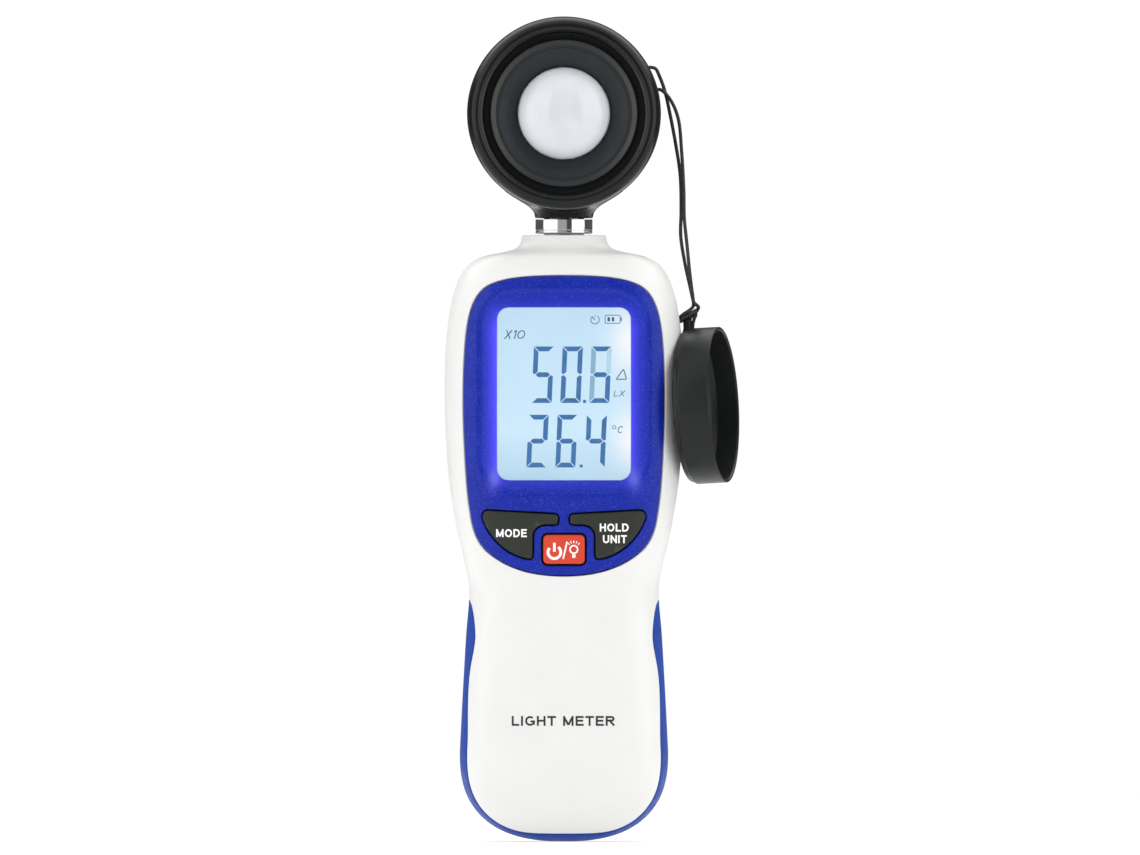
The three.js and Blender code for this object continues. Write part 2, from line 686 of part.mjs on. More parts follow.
add('head_rear_shell', 'head_black', headRearShell());
HEAD_SCREWS.forEach(([x, height], index) => {
  add(`head_screw_${index + 1}`, 'steel', screw(8.5, 1.4, -6, x, height));
});

add('dome_ring', 'ring_black', turnHead([
  [RING_OUTER, SHELF_FRONT - GAP], [RING_OUTER, -12.5], [16.3, -12.9], [RING_INNER, -12.9],
  [14.0, -11.9], [12.6, -11.0], [10.9, -10.6], [10.7, SHELF_FRONT - GAP],
]));

// The dome is a thin translucent cap with a foot that the ring holds down.
function sensorDome() {
  const rise = SHELF_FRONT - 1.4 - DOME_TIP;
  const outer = [];
  const inner = [];
  for (let step = 0; step <= 5; step += 1) {
    const angle = (step / 5) * (Math.PI / 2);
    outer.push([DOME_RADIUS * Math.sin(angle), DOME_TIP + rise * (1 - Math.cos(angle))]);
    inner.unshift([(DOME_RADIUS - 1) * Math.sin(angle), DOME_TIP + 1.1 + (rise - 1) * (1 - Math.cos(angle))]);
  }
  const foot = [[DOME_RADIUS, -8.9], [11.2, -8.9], [11.2, -7.6], [DOME_RADIUS - 1, -7.6]];
  const points = [...outer, ...foot, ...inner].map(([radius, y]) => new THREE.Vector2(radius, y));
  return solid(new THREE.LatheGeometry(points, 28).translate(0, 0, HEAD_HEIGHT));
}

add('sensor_dome', 'dome_white', sensorDome());
add('light_filter', 'filter_green', barY(8.9, -9.4, -8.5, 0, HEAD_HEIGHT, 24));
add('photodiode', 'chip_black', box([-2.8, -8.2, HEAD_HEIGHT - 2.8], [2.8, -7.0, HEAD_HEIGHT + 2.8]));
add('sensor_pcb', 'pcb_green', barY(13.2, -6.7, -5.5, 0, HEAD_HEIGHT, 24));

const CABLE_HEAD = [[0, 0, 122.5], [0, 0, 136], [0, 0, 148], [0, -1.4, 152.5], [0, -4.2, 155]];
const CABLE_BODY = [[0, 0, 122.1], [0, -0.6, 118.5], [0, -3.2, 115.6], [0, -5.3, 114.6]];

function cable(points, steps) {
  return tube(points.map((point) => new THREE.Vector3(...point)), 1.1, steps);
}

add('sensor_cable_head', 'cable_grey', cable(CABLE_HEAD, 14));
add('sensor_cable_body', 'cable_grey', cable(CABLE_BODY, 6));

// ---- Cap ------------------------------------------------------------------------------------

// The cap's own frame: its axis points from the closed back to the open rim.
function capPlace() {
  const turn = THREE.MathUtils.degToRad(-CAP_TURN);
  const tilt = THREE.MathUtils.degToRad(-CAP_TILT);
  const spin = new THREE.Euler(0, tilt, turn, 'ZYX');
  return new THREE.Matrix4().makeRotationFromEuler(spin).setPosition(CAP_BACK_CENTRE);
}

const LUG_AT = 1.9;

function sensorCap() {
  const cup = [
    [0, 0], [14.2, 0], [15.9, 0.4], [17.0, 1.5], [CAP_RADIUS, 3.2], [CAP_RADIUS, CAP_DEPTH],
    [CAP_RADIUS - CAP_WALL, CAP_DEPTH], [CAP_RADIUS - CAP_WALL, 3.4], [16.1, 2.1], [15.3, 1.4], [14.0, 1.1], [0, 1.1],
  ];
  const points = cup.map(([radius, along]) => new THREE.Vector2(radius, along));
  const shell = new THREE.LatheGeometry([...points, points[0]], 36).rotateZ(-Math.PI / 2);
  const stem = new THREE.CylinderGeometry(LUG_RADIUS, LUG_RADIUS, 4.2, 12).rotateX(Math.PI / 2);
  const knob = new THREE.SphereGeometry(1.4, 12, 8);
  return join(
    solid(shell.applyMatrix4(capPlace())),
    solid(stem.translate(LUG_AT, 0, 18.5).applyMatrix4(capPlace())),
    solid(knob.translate(LUG_AT, 0, 20.9).applyMatrix4(capPlace())),
  );
}

add('sensor_cap', 'cap_black', sensorCap());

// Two turns of the cord drawn tight under the lug's knob.
function capKnot() {
  const outline = [
    [1.5, 17.9], [2.2, 17.8], [2.5, 18.3], [2.35, 18.8], [2.5, 19.3], [2.2, 19.6], [1.5, 19.3],
  ];
  const points = outline.map(([radius, along]) => new THREE.Vector2(radius, along));
  const ring = new THREE.LatheGeometry([...points, points[0]], 14).rotateX(Math.PI / 2);
  return solid(ring.translate(LUG_AT, 0, 0).applyMatrix4(capPlace()));
}

add('cap_cord_knot', 'cord_black', capKnot());

// ---- Cord -----------------------------------------------------------------------------------

// The cord is one doubled line: both strands leave the slot and end at the knot.
const STRAND_HIGH = [
  [19.35, 2.4, 174.25], [20.4, 2.6, 173.6], [21.4, 2.8, 171.9], [22.7, 2.9, 168.3], [23.7, 2.6, 163.8],
  [25.0, 2.0, 157.0], [26.1, 1.1, 149.5], [26.3, 0.6, 141.5], [26.2, 0.3, 136], [27.1, 0.2, 130],
  [28.3, 0.2, 124.5], [29.1, 0.15, 120.9],
];
const STRAND_LOW = [
  [21.5, 2.1, 168.8], [22.7, 1.6, 168.0], [24.4, 1.3, 165.6], [25.7, 1.0, 162], [26.4, 0.5, 155],
  [26.9, 0.0, 146], [27.0, -0.5, 140], [27.6, -0.8, 134], [28.3, -1.0, 127], [29.1, -1.0, 120.9],
];
const EYE_RADIUS = 19.4;

function strand(points, steps) {
  return tube(points.map((point) => new THREE.Vector3(...point)), CORD_RADIUS, steps);
}

function cordEye() {
  const points = [];
  const reach = [[21.0, SLOT_HIGH], [EYE_RADIUS, SLOT_HIGH - 0.5], [EYE_RADIUS, 22.3]];
  reach.push([EYE_RADIUS, SLOT_LOW + 0.5], [21.0, SLOT_LOW]);
  reach.forEach(([radius, degrees]) => {
    const angle = THREE.MathUtils.degToRad(degrees);
    points.push(new THREE.Vector3(radius * Math.cos(angle), SLOT_Y, HEAD_HEIGHT + radius * Math.sin(angle)));
  });
  return tube(points, CORD_RADIUS, 12);
}

add('cap_cord_eye', 'cord_black', cordEye());
add('cap_cord_strand_high', 'cord_black', strand(STRAND_HIGH, 24));
add('cap_cord_strand_low', 'cord_black', strand(STRAND_LOW, 22));

group.position.z = -GRIP_HEIGHT;
group.updateMatrixWorld(true);

export default group;
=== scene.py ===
"""Looks of the handheld light meter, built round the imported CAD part.

Shapes are worked out in millimetres, with heights counted from the foot of the housing, and are
placed in the CAD frame, in metres, when their mesh is made.
"""

import math

import bpy
import numpy as np
from mathutils import Matrix, Vector
from mathutils.geometry import delaunay_2d_cdt


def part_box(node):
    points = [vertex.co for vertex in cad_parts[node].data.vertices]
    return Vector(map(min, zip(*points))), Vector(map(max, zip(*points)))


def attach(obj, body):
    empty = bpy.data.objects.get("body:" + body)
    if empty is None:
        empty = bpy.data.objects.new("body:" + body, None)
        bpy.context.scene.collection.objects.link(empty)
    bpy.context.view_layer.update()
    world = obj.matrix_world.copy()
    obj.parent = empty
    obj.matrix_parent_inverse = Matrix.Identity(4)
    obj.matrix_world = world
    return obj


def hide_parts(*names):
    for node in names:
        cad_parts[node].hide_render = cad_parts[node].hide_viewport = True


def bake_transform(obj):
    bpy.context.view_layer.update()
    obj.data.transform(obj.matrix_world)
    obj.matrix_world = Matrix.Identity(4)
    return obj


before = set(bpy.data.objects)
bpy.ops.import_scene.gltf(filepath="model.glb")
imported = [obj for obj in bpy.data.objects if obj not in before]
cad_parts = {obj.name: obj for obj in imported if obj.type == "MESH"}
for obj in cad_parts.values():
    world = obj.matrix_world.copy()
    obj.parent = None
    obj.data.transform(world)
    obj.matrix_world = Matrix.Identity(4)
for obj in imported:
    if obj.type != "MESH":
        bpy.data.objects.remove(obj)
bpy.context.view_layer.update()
scene = bpy.context.scene
HEAD_HEIGHT = 163.3
FOOT = sum(corner.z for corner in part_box("dome_ring")) / 2 - HEAD_HEIGHT * 0.001


def to_frame(points):
    """Millimetres with heights from the foot, as points of the CAD frame in metres."""
    return np.asarray(points, float) * 0.001 + (0.0, 0.0, FOOT)


# ---- Camera ---------------------------------------------------------------------------------

FIELD_WIDTH = 0.2559
LENS = 800.0
SENSOR = 36.0
AIM = Vector((0.00135, 0.0, 0.0579))


def make_camera():
    data = bpy.data.cameras.new("camera")
    data.lens = LENS
    data.sensor_width = SENSOR
    data.clip_start = 0.05
    data.clip_end = 50
    camera = bpy.data.objects.new("camera", data)
    camera.location = AIM - Vector((0, FIELD_WIDTH * LENS / SENSOR, 0))
    camera.rotation_euler = (math.radians(90), 0, 0)
    scene.collection.objects.link(camera)
    scene.camera = camera


make_camera()

# ---- Materials ------------------------------------------------------------------------------


def linear(red, green, blue):
    """A colour given as 0 to 255 display values."""
    values = [channel / 255 for channel in (red, green, blue)]
    return [v / 12.92 if v <= 0.04045 else ((v + 0.055) / 1.055) ** 2.4 for v in values]


class Nodes:
    """Short ways of adding shader nodes to one material."""

    def __init__(self, name):
        self.material = bpy.data.materials.new(name)
        self.material.use_nodes = True
        self.tree = self.material.node_tree
        self.shader = self.tree.nodes["Principled BSDF"]
        self.place = self.add("ShaderNodeTexCoord").outputs["Object"]

    def add(self, kind, **settings):
        node = self.tree.nodes.new(kind)
        for key, value in settings.items():
            setattr(node, key, value)
        return node

    def link(self, start, end):
        self.tree.links.new(start, end)

    def noise(self, size, detail=2.0, stretch=None):
        """Noise whose lumps are about this many millimetres across."""
        node = self.add("ShaderNodeTexNoise")
        node.inputs["Scale"].default_value = 1000.0 / size
        node.inputs["Detail"].default_value = detail
        source = self.place
        if stretch:
            mapping = self.add("ShaderNodeMapping")
            mapping.inputs["Scale"].default_value = stretch
            self.link(self.place, mapping.inputs["Vector"])
            source = mapping.outputs["Vector"]
        self.link(source, node.inputs["Vector"])
        return node.outputs["Fac"]

    def spread(self, value, low, high, start=0.3, end=0.7):
        """The value from start to end, carried to low and high."""
        node = self.add("ShaderNodeMapRange")
        for key, number in zip(("From Min", "From Max", "To Min", "To Max"), (start, end, low, high)):
            node.inputs[key].default_value = number
        self.link(value, node.inputs["Value"])
        return node.outputs["Result"]

    def mix(self, share, first, second):
        """Mixes two colours, each a list or a node's output."""
        node = self.add("ShaderNodeMix", data_type="RGBA")
        self.link(share, node.inputs["Factor"])
        for socket, colour in ((node.inputs[6], first), (node.inputs[7], second)):
            if isinstance(colour, (list, tuple)):
                socket.default_value = (*colour, 1.0)
            else:
                self.link(colour, socket)
        return node.outputs[2]

    def math(self, operation, *values):
        node = self.add("ShaderNodeMath", operation=operation)
        for socket, value in zip(node.inputs, values):
            if isinstance(value, (int, float)):
                socket.default_value = value
            else:
                self.link(value, socket)
        return node.outputs[0]

    def axes(self):
        """Across, away and up on the object, in metres."""
        node = self.add("ShaderNodeSeparateXYZ")
        self.link(self.place, node.inputs[0])
        return node.outputs

    def above(self, up, height):
        """How far up is above a height in millimetres, in metres."""
        return self.math("SUBTRACT", up, float(to_frame([0, 0, height])[2]))

    def squares(self, first, second):
        return self.math("ADD", self.math("POWER", first, 2.0), self.math("POWER", second, 2.0))

    def fading(self, far, rate):
        """One at the middle, falling off smoothly as far grows."""
        return self.math("POWER", math.e, self.math("MULTIPLY", far, -rate))

    def drift(self, size, first, second):
        """Two colours that drift into each other over this many millimetres."""
        return self.mix(self.spread(self.noise(size), 0, 1), first, second)

    def uneven(self, size, low, high, detail=2.0):
        return self.spread(self.noise(size, detail), low, high)

    def put(self, **sockets):
        """Sets the shader's sockets, to a value or to a node's output."""
        for key, value in sockets.items():
            socket = self.shader.inputs[key.replace("_", " ")]
            if isinstance(value, bpy.types.NodeSocket):
                self.link(value, socket)
            else:
                socket.default_value = (*value, 1.0) if socket.type == "RGBA" else value

    def bump(self, height, depth, strength=1.0):
        node = self.add("ShaderNodeBump")
        node.inputs["Strength"].default_value = strength
        node.inputs["Distance"].default_value = depth * 0.001
        self.link(height, node.inputs["Height"])
        self.link(node.outputs["Normal"], self.shader.inputs["Normal"])


def moulded(name, colour, rough, vary=0.05, grain=0.3, depth=0.02, rough_vary=0.08, worn=None, ring=None,
            **sockets):
    """Moulded plastic or metal: slow colour drift, fine grain, uneven gloss, and perhaps painted highlights
    along convex edges and on a ring about the head's axis.
    """
    nodes = Nodes(name)
    dark = [channel * (1 - vary) for channel in colour]
    light = [min(channel * (1 + vary), 1.0) for channel in colour]
    tint = nodes.drift(9.0, dark, light)
    # Painted edge highlight: convex edges lightened in patches towards the given colour.
    if worn:
        edge = nodes.spread(nodes.add("ShaderNodeNewGeometry").outputs["Pointiness"], 0, 0.55, 0.53, 0.62)
        patchy = nodes.math("MULTIPLY", edge, nodes.uneven(1.4, 0.2, 1))
        tint = nodes.mix(patchy, tint, worn)
    # Painted highlight on a ring about the head's axis, brightest at the ring's sides.
    if ring:
        tint = nodes.mix(ring_highlight_share(nodes, *ring[:2]), tint, ring[2])
    gloss = nodes.uneven(2.2, max(rough - rough_vary, 0.02), rough + rough_vary, 4)
    nodes.put(Base_Color=tint, Roughness=gloss)
    nodes.bump(nodes.noise(grain, 3), depth, 0.6)
    nodes.put(**sockets)
    return nodes.material


RING_FRONT = (-0.0119, -0.0113)


def ring_highlight_share(nodes, radius, half_width):
    """One on a ring about the head's axis, at its front, and fading towards the ring's top and foot: where a
    painted highlight goes.
    """
    across, away, up = nodes.axes()
    rise = nodes.above(up, HEAD_HEIGHT)
    out = nodes.math("SQRT", nodes.squares(across, rise))
    off = nodes.math("ABSOLUTE", nodes.math("SUBTRACT", out, radius * 0.001))
    here = nodes.spread(off, 1, 0, half_width * 0.0006, half_width * 0.001)
    here = nodes.math("MULTIPLY", here, nodes.spread(away, 1, 0, *RING_FRONT))
    upright = nodes.math("DIVIDE", nodes.math("ABSOLUTE", rise), radius * 0.001)
    return nodes.math("MULTIPLY", here, nodes.spread(upright, 1, 0.15, 0.35, 0.95))


WINDOW_HALF = (15.1, 19.4)
LCD_MIDDLE = 100.45
DISH_HALF, DISH_MIDDLE, DISH_CORNER = (18.95, 22.7), 100.9, 8.5
# Painted glints of the lamps at the dish's lower corners: their side, height and reach.
GLINT_SIDE, GLINT_HEIGHT, GLINT_REACH = 0.0158, 80.9, (0.0017, 0.0028)


def box_distance(nodes, aside, rise):
    """How far a place is from the box between the dish's corner centres, negative inside that box."""
    across = nodes.math("SUBTRACT", aside, (DISH_HALF[0] - DISH_CORNER) * 0.001)
    upward = nodes.math("SUBTRACT", rise, (DISH_HALF[1] - DISH_CORNER) * 0.001)
    outside = nodes.squares(nodes.math("MAXIMUM", across, 0.0), nodes.math("MAXIMUM", upward, 0.0))
    within = nodes.math("MINIMUM", nodes.math("MAXIMUM", across, upward), 0.0)
    return nodes.math("ADD", nodes.math("SQRT", outside), within)


def blue_panel():
    """Dark blue satin plastic with fine sparkle; painted light: a glow where the display's light leaks into
    it, a lighter tone inside the dish, and glints of the lamps at the dish's lower corners.
    """
    nodes = Nodes("blue_panel")
    across, _, up = nodes.axes()
    aside = nodes.math("ABSOLUTE", across)
    reach = box_distance(nodes, aside, nodes.math("ABSOLUTE", nodes.above(up, DISH_MIDDLE)))
    edge = DISH_CORNER * 0.001
    # Painted light: a lighter, milkier blue inside the dish, where the display's light spreads.
    dish_glow = nodes.spread(reach, 0.75, 0, edge - 0.0006, edge + 0.0003)
    base = nodes.mix(dish_glow, nodes.drift(7.0, linear(8, 30, 146), linear(12, 37, 156)), linear(28, 45, 168))
    fleck = nodes.spread(nodes.noise(0.2, 0), 0, 1, 0.62, 0.8)
    # Painted glow where the display's light leaks into the blue beside and above the window, stronger on the
    # left.
    side = nodes.math("SUBTRACT", aside, WINDOW_HALF[0] * 0.001)
    over = nodes.math("SUBTRACT", nodes.math("ABSOLUTE", nodes.above(up, LCD_MIDDLE)), WINDOW_HALF[1] * 0.001)
    beside = nodes.math("POWER", nodes.spread(side, 1, 0, -0.0002, 0.0036), 1.8)
    above = nodes.math("POWER", nodes.spread(over, 1, 0, -0.0045, 0.0021), 1.5)
    glow = nodes.math("MULTIPLY", beside, above)
    lean = nodes.math("MULTIPLY", nodes.spread(across, 0.95, 0.62, -0.016, 0.016),
                      nodes.spread(nodes.noise(11.0, 1), 0.8, 1.05))
    # Painted glints: reflections of the lamps at the dish's lower corners, as glow and a paler glow colour.
    glint_side = nodes.math("DIVIDE", nodes.math("SUBTRACT", aside, GLINT_SIDE), GLINT_REACH[0])
    glint_up = nodes.math("DIVIDE", nodes.above(up, GLINT_HEIGHT), GLINT_REACH[1])
    glint = nodes.math("MULTIPLY", nodes.fading(nodes.squares(glint_up, glint_side), 1.0), 0.22)
    warm = nodes.math("MULTIPLY", glint, 3.5)
    nodes.put(Base_Color=nodes.mix(fleck, base, linear(58, 78, 184)), Specular_IOR_Level=0.2,
              Roughness=nodes.uneven(1.5, 0.3, 0.42, 3),
              Emission_Strength=nodes.math("ADD", nodes.math("MULTIPLY", glow, lean), glint),
              Emission_Color=nodes.mix(warm, [0.12, 0.075, 1.0], [0.42, 0.42, 1.0]))
    nodes.bump(nodes.noise(0.35, 2), 0.02, 0.5)
    return nodes.material


# Painted reflections of the lamps on the display: their place across, and each one's height and reach.
GLARE_X, GLARE_SPOTS = 15.6, ((112.0, 0.0062), (90.5, 0.0052))


def lcd_face():
    """The lit face of the display: pale blue, with painted reflections of the lamps as two bright spots near
    its right edge.
    """
    nodes = Nodes("lcd_face")
    across, _, up = nodes.axes()
    glare = 0.0
    for height, reach in GLARE_SPOTS:
        beside = nodes.math("DIVIDE", nodes.math("SUBTRACT", across, GLARE_X * 0.001), reach)
        rise = nodes.math("DIVIDE", nodes.above(up, height), reach * 1.5)
        glare = nodes.math("ADD", glare, nodes.fading(nodes.squares(beside, rise), 1.6))
    foot, low, high = (float(to_frame([0, 0, height])[2]) for height in (81.0, 92.0, 118.0))
    field = nodes.mix(nodes.spread(up, 0, 1, low, high), linear(206, 236, 254), linear(190, 224, 246))
    field = nodes.mix(nodes.spread(up, 0, 1, foot, low), linear(174, 210, 233), field)
    cloudy = nodes.mix(nodes.uneven(14.0, 0, 0.35), field, linear(214, 240, 255))
    lit = nodes.mix(nodes.math("MINIMUM", glare, 1.0), cloudy, [1.0, 1.0, 1.0])
    nodes.put(Base_Color=(0.05, 0.06, 0.07), Emission_Color=lit, Emission_Strength=0.92,
              Roughness=nodes.uneven(0.5, 0.35, 0.45))
    nodes.bump(nodes.noise(0.25), 0.004, 0.3)
    return nodes.material


def glowing(name, colour, strength=0.8, vary=0.12):
    """Ink of the display: dark crystal lit from behind."""
    nodes = Nodes(name)
    tint = nodes.drift(3.0, [c * (1 - vary) for c in colour], [c * (1 + vary) for c in colour])
    nodes.put(Base_Color=(0.02, 0.03, 0.04), Emission_Color=tint, Emission_Strength=strength,
              Roughness=nodes.uneven(0.6, 0.4, 0.5))
    return nodes.material


def dome_material():
    """Opal acrylic: glossy outside, milky inside."""
    nodes = Nodes("dome_white")
    nodes.put(Base_Color=nodes.drift(6.0, linear(206, 209, 214), linear(214, 216, 221)),
              Roughness=nodes.uneven(1.2, 0.015, 0.035, 3), Specular_IOR_Level=0.5, Subsurface_Weight=0.2,
              Subsurface_Radius=(1.0, 1.0, 1.05), Subsurface_Scale=0.0015)
    nodes.bump(nodes.noise(2.5, 1), 0.002, 0.15)
    return nodes.material


def clear_material():
    nodes = Nodes("clear_window")
    tint = nodes.mix(nodes.noise(5.0), [0.97, 0.99, 1.0], [1.0, 1.0, 1.0])
    nodes.put(Base_Color=tint, Roughness=nodes.uneven(3.0, 0.0, 0.02), Transmission_Weight=1.0, IOR=1.2,
              Specular_IOR_Level=0.3)
    nodes.bump(nodes.noise(2.0), 0.0005, 0.1)
    return nodes.material


def braided(name, colour):
    """Thin braided cord: strands that wind round it."""
    nodes = Nodes(name)
    weave = nodes.add("ShaderNodeTexWave", wave_type="BANDS", bands_direction="DIAGONAL")
    weave.inputs["Scale"].default_value = 900
    weave.inputs["Distortion"].default_value = 2.0
    nodes.link(nodes.place, weave.inputs["Vector"])
    shade = nodes.mix(weave.outputs["Fac"], [c * 0.6 for c in colour], [c * 1.5 for c in colour])
    nodes.put(Base_Color=shade, Roughness=nodes.uneven(0.4, 0.55, 0.8))
    nodes.bump(weave.outputs["Fac"], 0.06, 0.8)
    return nodes.material


def board_green():
    """Solder mask with copper runs just visible beneath."""
    nodes = Nodes("pcb_green")
    runs = nodes.add("ShaderNodeTexBrick", offset=0.5)
    runs.inputs["Scale"].default_value = 420
    runs.inputs["Mortar Size"].default_value = 0.012
    nodes.link(nodes.place, runs.inputs["Vector"])
    nodes.put(Base_Color=nodes.mix(runs.outputs["Fac"], linear(28, 96, 52), linear(46, 128, 72)),
              Roughness=nodes.uneven(1.0, 0.3, 0.45))
    nodes.bump(runs.outputs["Fac"], 0.03, 0.5)
    return nodes.material


MATERIALS = {
    name: moulded(name, linear(*colour), *finish, **more) for name, colour, finish, more in (
        ("white_abs", (226, 226, 224), (0.42, 0.012, 0.3, 0.012, 0.06), {}),
        ("blue_grip", (24, 62, 150), (0.5, 0.06, 0.35, 0.03, 0.08), dict(Specular_IOR_Level=0.2)),
        # Painted edge highlight: the keys' lighter colour on convex edges.
        ("key_olive", (46, 48, 42), (0.42, 0.06, 0.3, 0.02),
         dict(worn=linear(84, 84, 80), Specular_IOR_Level=0.2)),
        ("key_red", (208, 68, 46), (0.4, 0.05, 0.3, 0.02), dict(Specular_IOR_Level=0.25)),
        ("white_inner", (228, 231, 234), (0.5, 0.03), {}),
        # Painted highlight: a lighter ring on the head's lip and on the dome ring's bevel.
        ("head_black", (13, 16, 17), (0.24, 0.08, 0.25, 0.004, 0.05),
         dict(ring=(18.4, 0.4, linear(70, 68, 64)), Specular_IOR_Level=0.25)),
        ("ring_black", (32, 36, 39), (0.42, 0.07, 0.22, 0.02, 0.08),
         dict(ring=(15.8, 0.62, linear(62, 60, 56)), Specular_IOR_Level=0.25)),
        ("filter_green", (143, 179, 154), (0.15, 0.04, 0.6, 0.004), {}),
        # Painted edge highlight: the cap's lighter colour on convex edges.
        ("cap_black", (26, 28, 28), (0.36, 0.08, 0.28, 0.015, 0.07),
         dict(worn=linear(66, 67, 66), Specular_IOR_Level=0.22)),
        ("chrome", (226, 227, 229), (0.07, 0.02, 0.5, 0.002, 0.03), dict(Metallic=1.0)),
        ("steel", (172, 175, 180), (0.3, 0.06, 0.2, 0.01), dict(Metallic=1.0)),
        ("chip_black", (32, 33, 35), (0.5, 0.08, 0.2, 0.02), {}),
        ("cell_wrap", (70, 80, 96), (0.25, 0.05, 0.6, 0.008), {}),
        ("cable_grey", (140, 144, 150), (0.5, 0.05), {}),
    )
}
MATERIALS.update(blue_panel=blue_panel(), clear_window=clear_material(), lcd_glass=lcd_face(),
                 dome_white=dome_material(), cord_black=braided("cord_black", linear(38, 38, 40)),
                 pcb_green=board_green())
PRINT_WHITE = moulded("print_white", linear(246, 246, 246), 0.5, 0.02, 0.2, 0.006)
PRINT_GREY = moulded("print_grey", linear(34, 34, 36), 0.5, 0.08, 0.2, 0.006)
SEGMENT_DARK = glowing("segment_dark", linear(48, 110, 172), 0.9)
SEGMENT_PALE = glowing("segment_pale", linear(138, 180, 208), 0.9, 0.05)
SEGMENT_FAINT = glowing("segment_faint", linear(184, 219, 242), 0.9, 0.02)
ICON_DARK = glowing("icon_dark", linear(46, 80, 108), 0.85)

for _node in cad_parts.values():
    for _slot in _node.material_slots:
        _finish = MATERIALS.get(_slot.material.name.split(".")[0])
        if _finish:
            _slot.material = _finish

# ---- Pieces ---------------------------------------------------------------------------------


def dress(obj, body, slot, material=None, replaces=()):
    """Gives a finished piece its material and its body, and hides the CAD nodes that it stands for."""
    obj.data.materials.clear()
    obj.data.materials.append(material or MATERIALS[slot])
    if body:
        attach(obj, body)
    if replaces:
        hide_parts(*replaces)
    return obj


def make_object(name, points, faces, crease=38.0, normals=None):
    mesh = bpy.data.meshes.new(name)
    mesh.from_pydata(to_frame(points).tolist(), [], [list(map(int, face)) for face in faces])
    mesh.shade_smooth()
    if normals is None:
        mesh.set_sharp_from_angle(angle=math.radians(crease))
    else:
        mesh.normals_split_custom_set_from_vertices(normals.tolist())
    obj = bpy.data.objects.new(name, mesh)
    scene.collection.objects.link(obj)
    return obj


def settle(obj, crease=38.0):
    """Applies every modifier on a piece."""
    graph = bpy.context.evaluated_depsgraph_get()
    graph.update()
    mesh = bpy.data.meshes.new_from_object(obj.evaluated_get(graph))
    obj.modifiers.clear()
    obj.data = mesh
    mesh.shade_smooth()
    mesh.set_sharp_from_angle(angle=math.radians(crease))


def unit(vectors):
    """Rows scaled to a length of one."""
    return vectors / np.linalg.norm(vectors, axis=1)[:, None]


def headings(path, closed):
    """Which way a line runs at each of its points."""
    if closed:
        return unit(np.roll(path, -1, axis=0) - np.roll(path, 1, axis=0))
    return unit(np.gradient(path, axis=0))


def distances(points):
    """How far along a polyline each of its points is."""
    return np.concatenate([[0], np.cumsum(np.linalg.norm(np.diff(points, axis=0), axis=1))])


def sampled(wanted, marks, points):
    """A polyline's points at the wanted distances."""
    return np.stack([np.interp(wanted, marks, column) for column in points.T], axis=1)


def softened(points, radius, closed=True, steps=3):
    """A polyline of corners with each corner rounded off over at most this distance."""
    points = [np.asarray(point, float) for point in points]
    count = len(points)
    rounded = []
    for index, point in enumerate(points):
        if not closed and index in (0, count - 1):
            rounded.append(point)
            continue
        before, after = points[index - 1] - point, points[(index + 1) % count] - point
        reach = min(radius, np.linalg.norm(before) * 0.45, np.linalg.norm(after) * 0.45)
        start = point + before / np.linalg.norm(before) * reach
        end = point + after / np.linalg.norm(after) * reach
        for step in range(steps + 1):
            t = step / steps
            rounded.append((1 - t) ** 2 * start + 2 * t * (1 - t) * point + t * t * end)
    return np.array(rounded)


def spline(points, spacing=0.5, closed=False):
    """A smooth curve through points, sampled evenly."""
    points = np.asarray(points, float)
    if closed:
        points = np.vstack([points[-1:], points, points[:2]])
    else:
        points = np.vstack([2 * points[0] - points[1], points, 2 * points[-1] - points[-2]])
    knots = np.concatenate([[0], np.cumsum(np.linalg.norm(np.diff(points, axis=0), axis=1) ** 0.5)])
    found = []
    for at in range(1, len(points) - 2):
        p0, p1, p2, p3 = points[at - 1:at + 3]
        t0, t1, t2, t3 = knots[at - 1:at + 3]
        steps = max(int(np.linalg.norm(p2 - p1) / spacing) + 1, 4)
        for t in np.linspace(t1, t2, steps, endpoint=False):
            a1 = ((t1 - t) * p0 + (t - t0) * p1) / (t1 - t0)
            a2 = ((t2 - t) * p1 + (t - t1) * p2) / (t2 - t1)
            a3 = ((t3 - t) * p2 + (t - t2) * p3) / (t3 - t2)
            b1 = ((t2 - t) * a1 + (t - t0) * a2) / (t2 - t0)
            b2 = ((t3 - t) * a2 + (t - t1) * a3) / (t3 - t1)
            found.append(((t2 - t) * b1 + (t - t1) * b2) / (t2 - t1))
    if not closed:
        found.append(points[-2])
    return np.array(found)


def along(points, spacing, closed=False):
    """A polyline walked at even steps."""
    points = np.asarray(points, float)
    if closed:
        points = np.vstack([points, points[:1]])
    marks = distances(points)
    count = max(int(round(marks[-1] / spacing)), 3)
    walked = sampled(np.linspace(0, marks[-1], count + 1), marks, points)
    return walked[:-1] if closed else walked


def grid_faces(rows, columns, wrap_rows=False, wrap_columns=True):
    """Quads over a grid of points numbered row by row."""
    faces = []
    for row in range(rows if wrap_rows else rows - 1):
        for column in range(columns if wrap_columns else columns - 1):
            next_row, next_column = (row + 1) % rows, (column + 1) % columns
            faces.append((row * columns + column, row * columns + next_column,
                          next_row * columns + next_column, next_row * columns + column))
    return faces


def outward(points, faces):
    """Turns the faces over if they face into the solid."""
    points = np.asarray(points)
    volume = 0.0
    for face in faces:
        for second, third in zip(face[1:-1], face[2:]):
            volume += np.dot(points[face[0]], np.cross(points[second], points[third]))
    return faces if volume > 0 else [tuple(reversed(face)) for face in faces]


def row_faces(rows, sides):
    """Quads between the rows of a turned shape, and triangles where a row is one point on the axis."""
    faces = []
    for row, after in zip(rows, rows[1:] + rows[:1]):
        if len(row) == 1 and len(after) == 1:
            continue
        for side in range(sides):
            nearby = (side + 1) % sides
            corners = [row[side % len(row)], row[nearby % len(row)],
                       after[nearby % len(after)], after[side % len(after)]]
            faces.append(tuple(dict.fromkeys(corners)))
    return faces


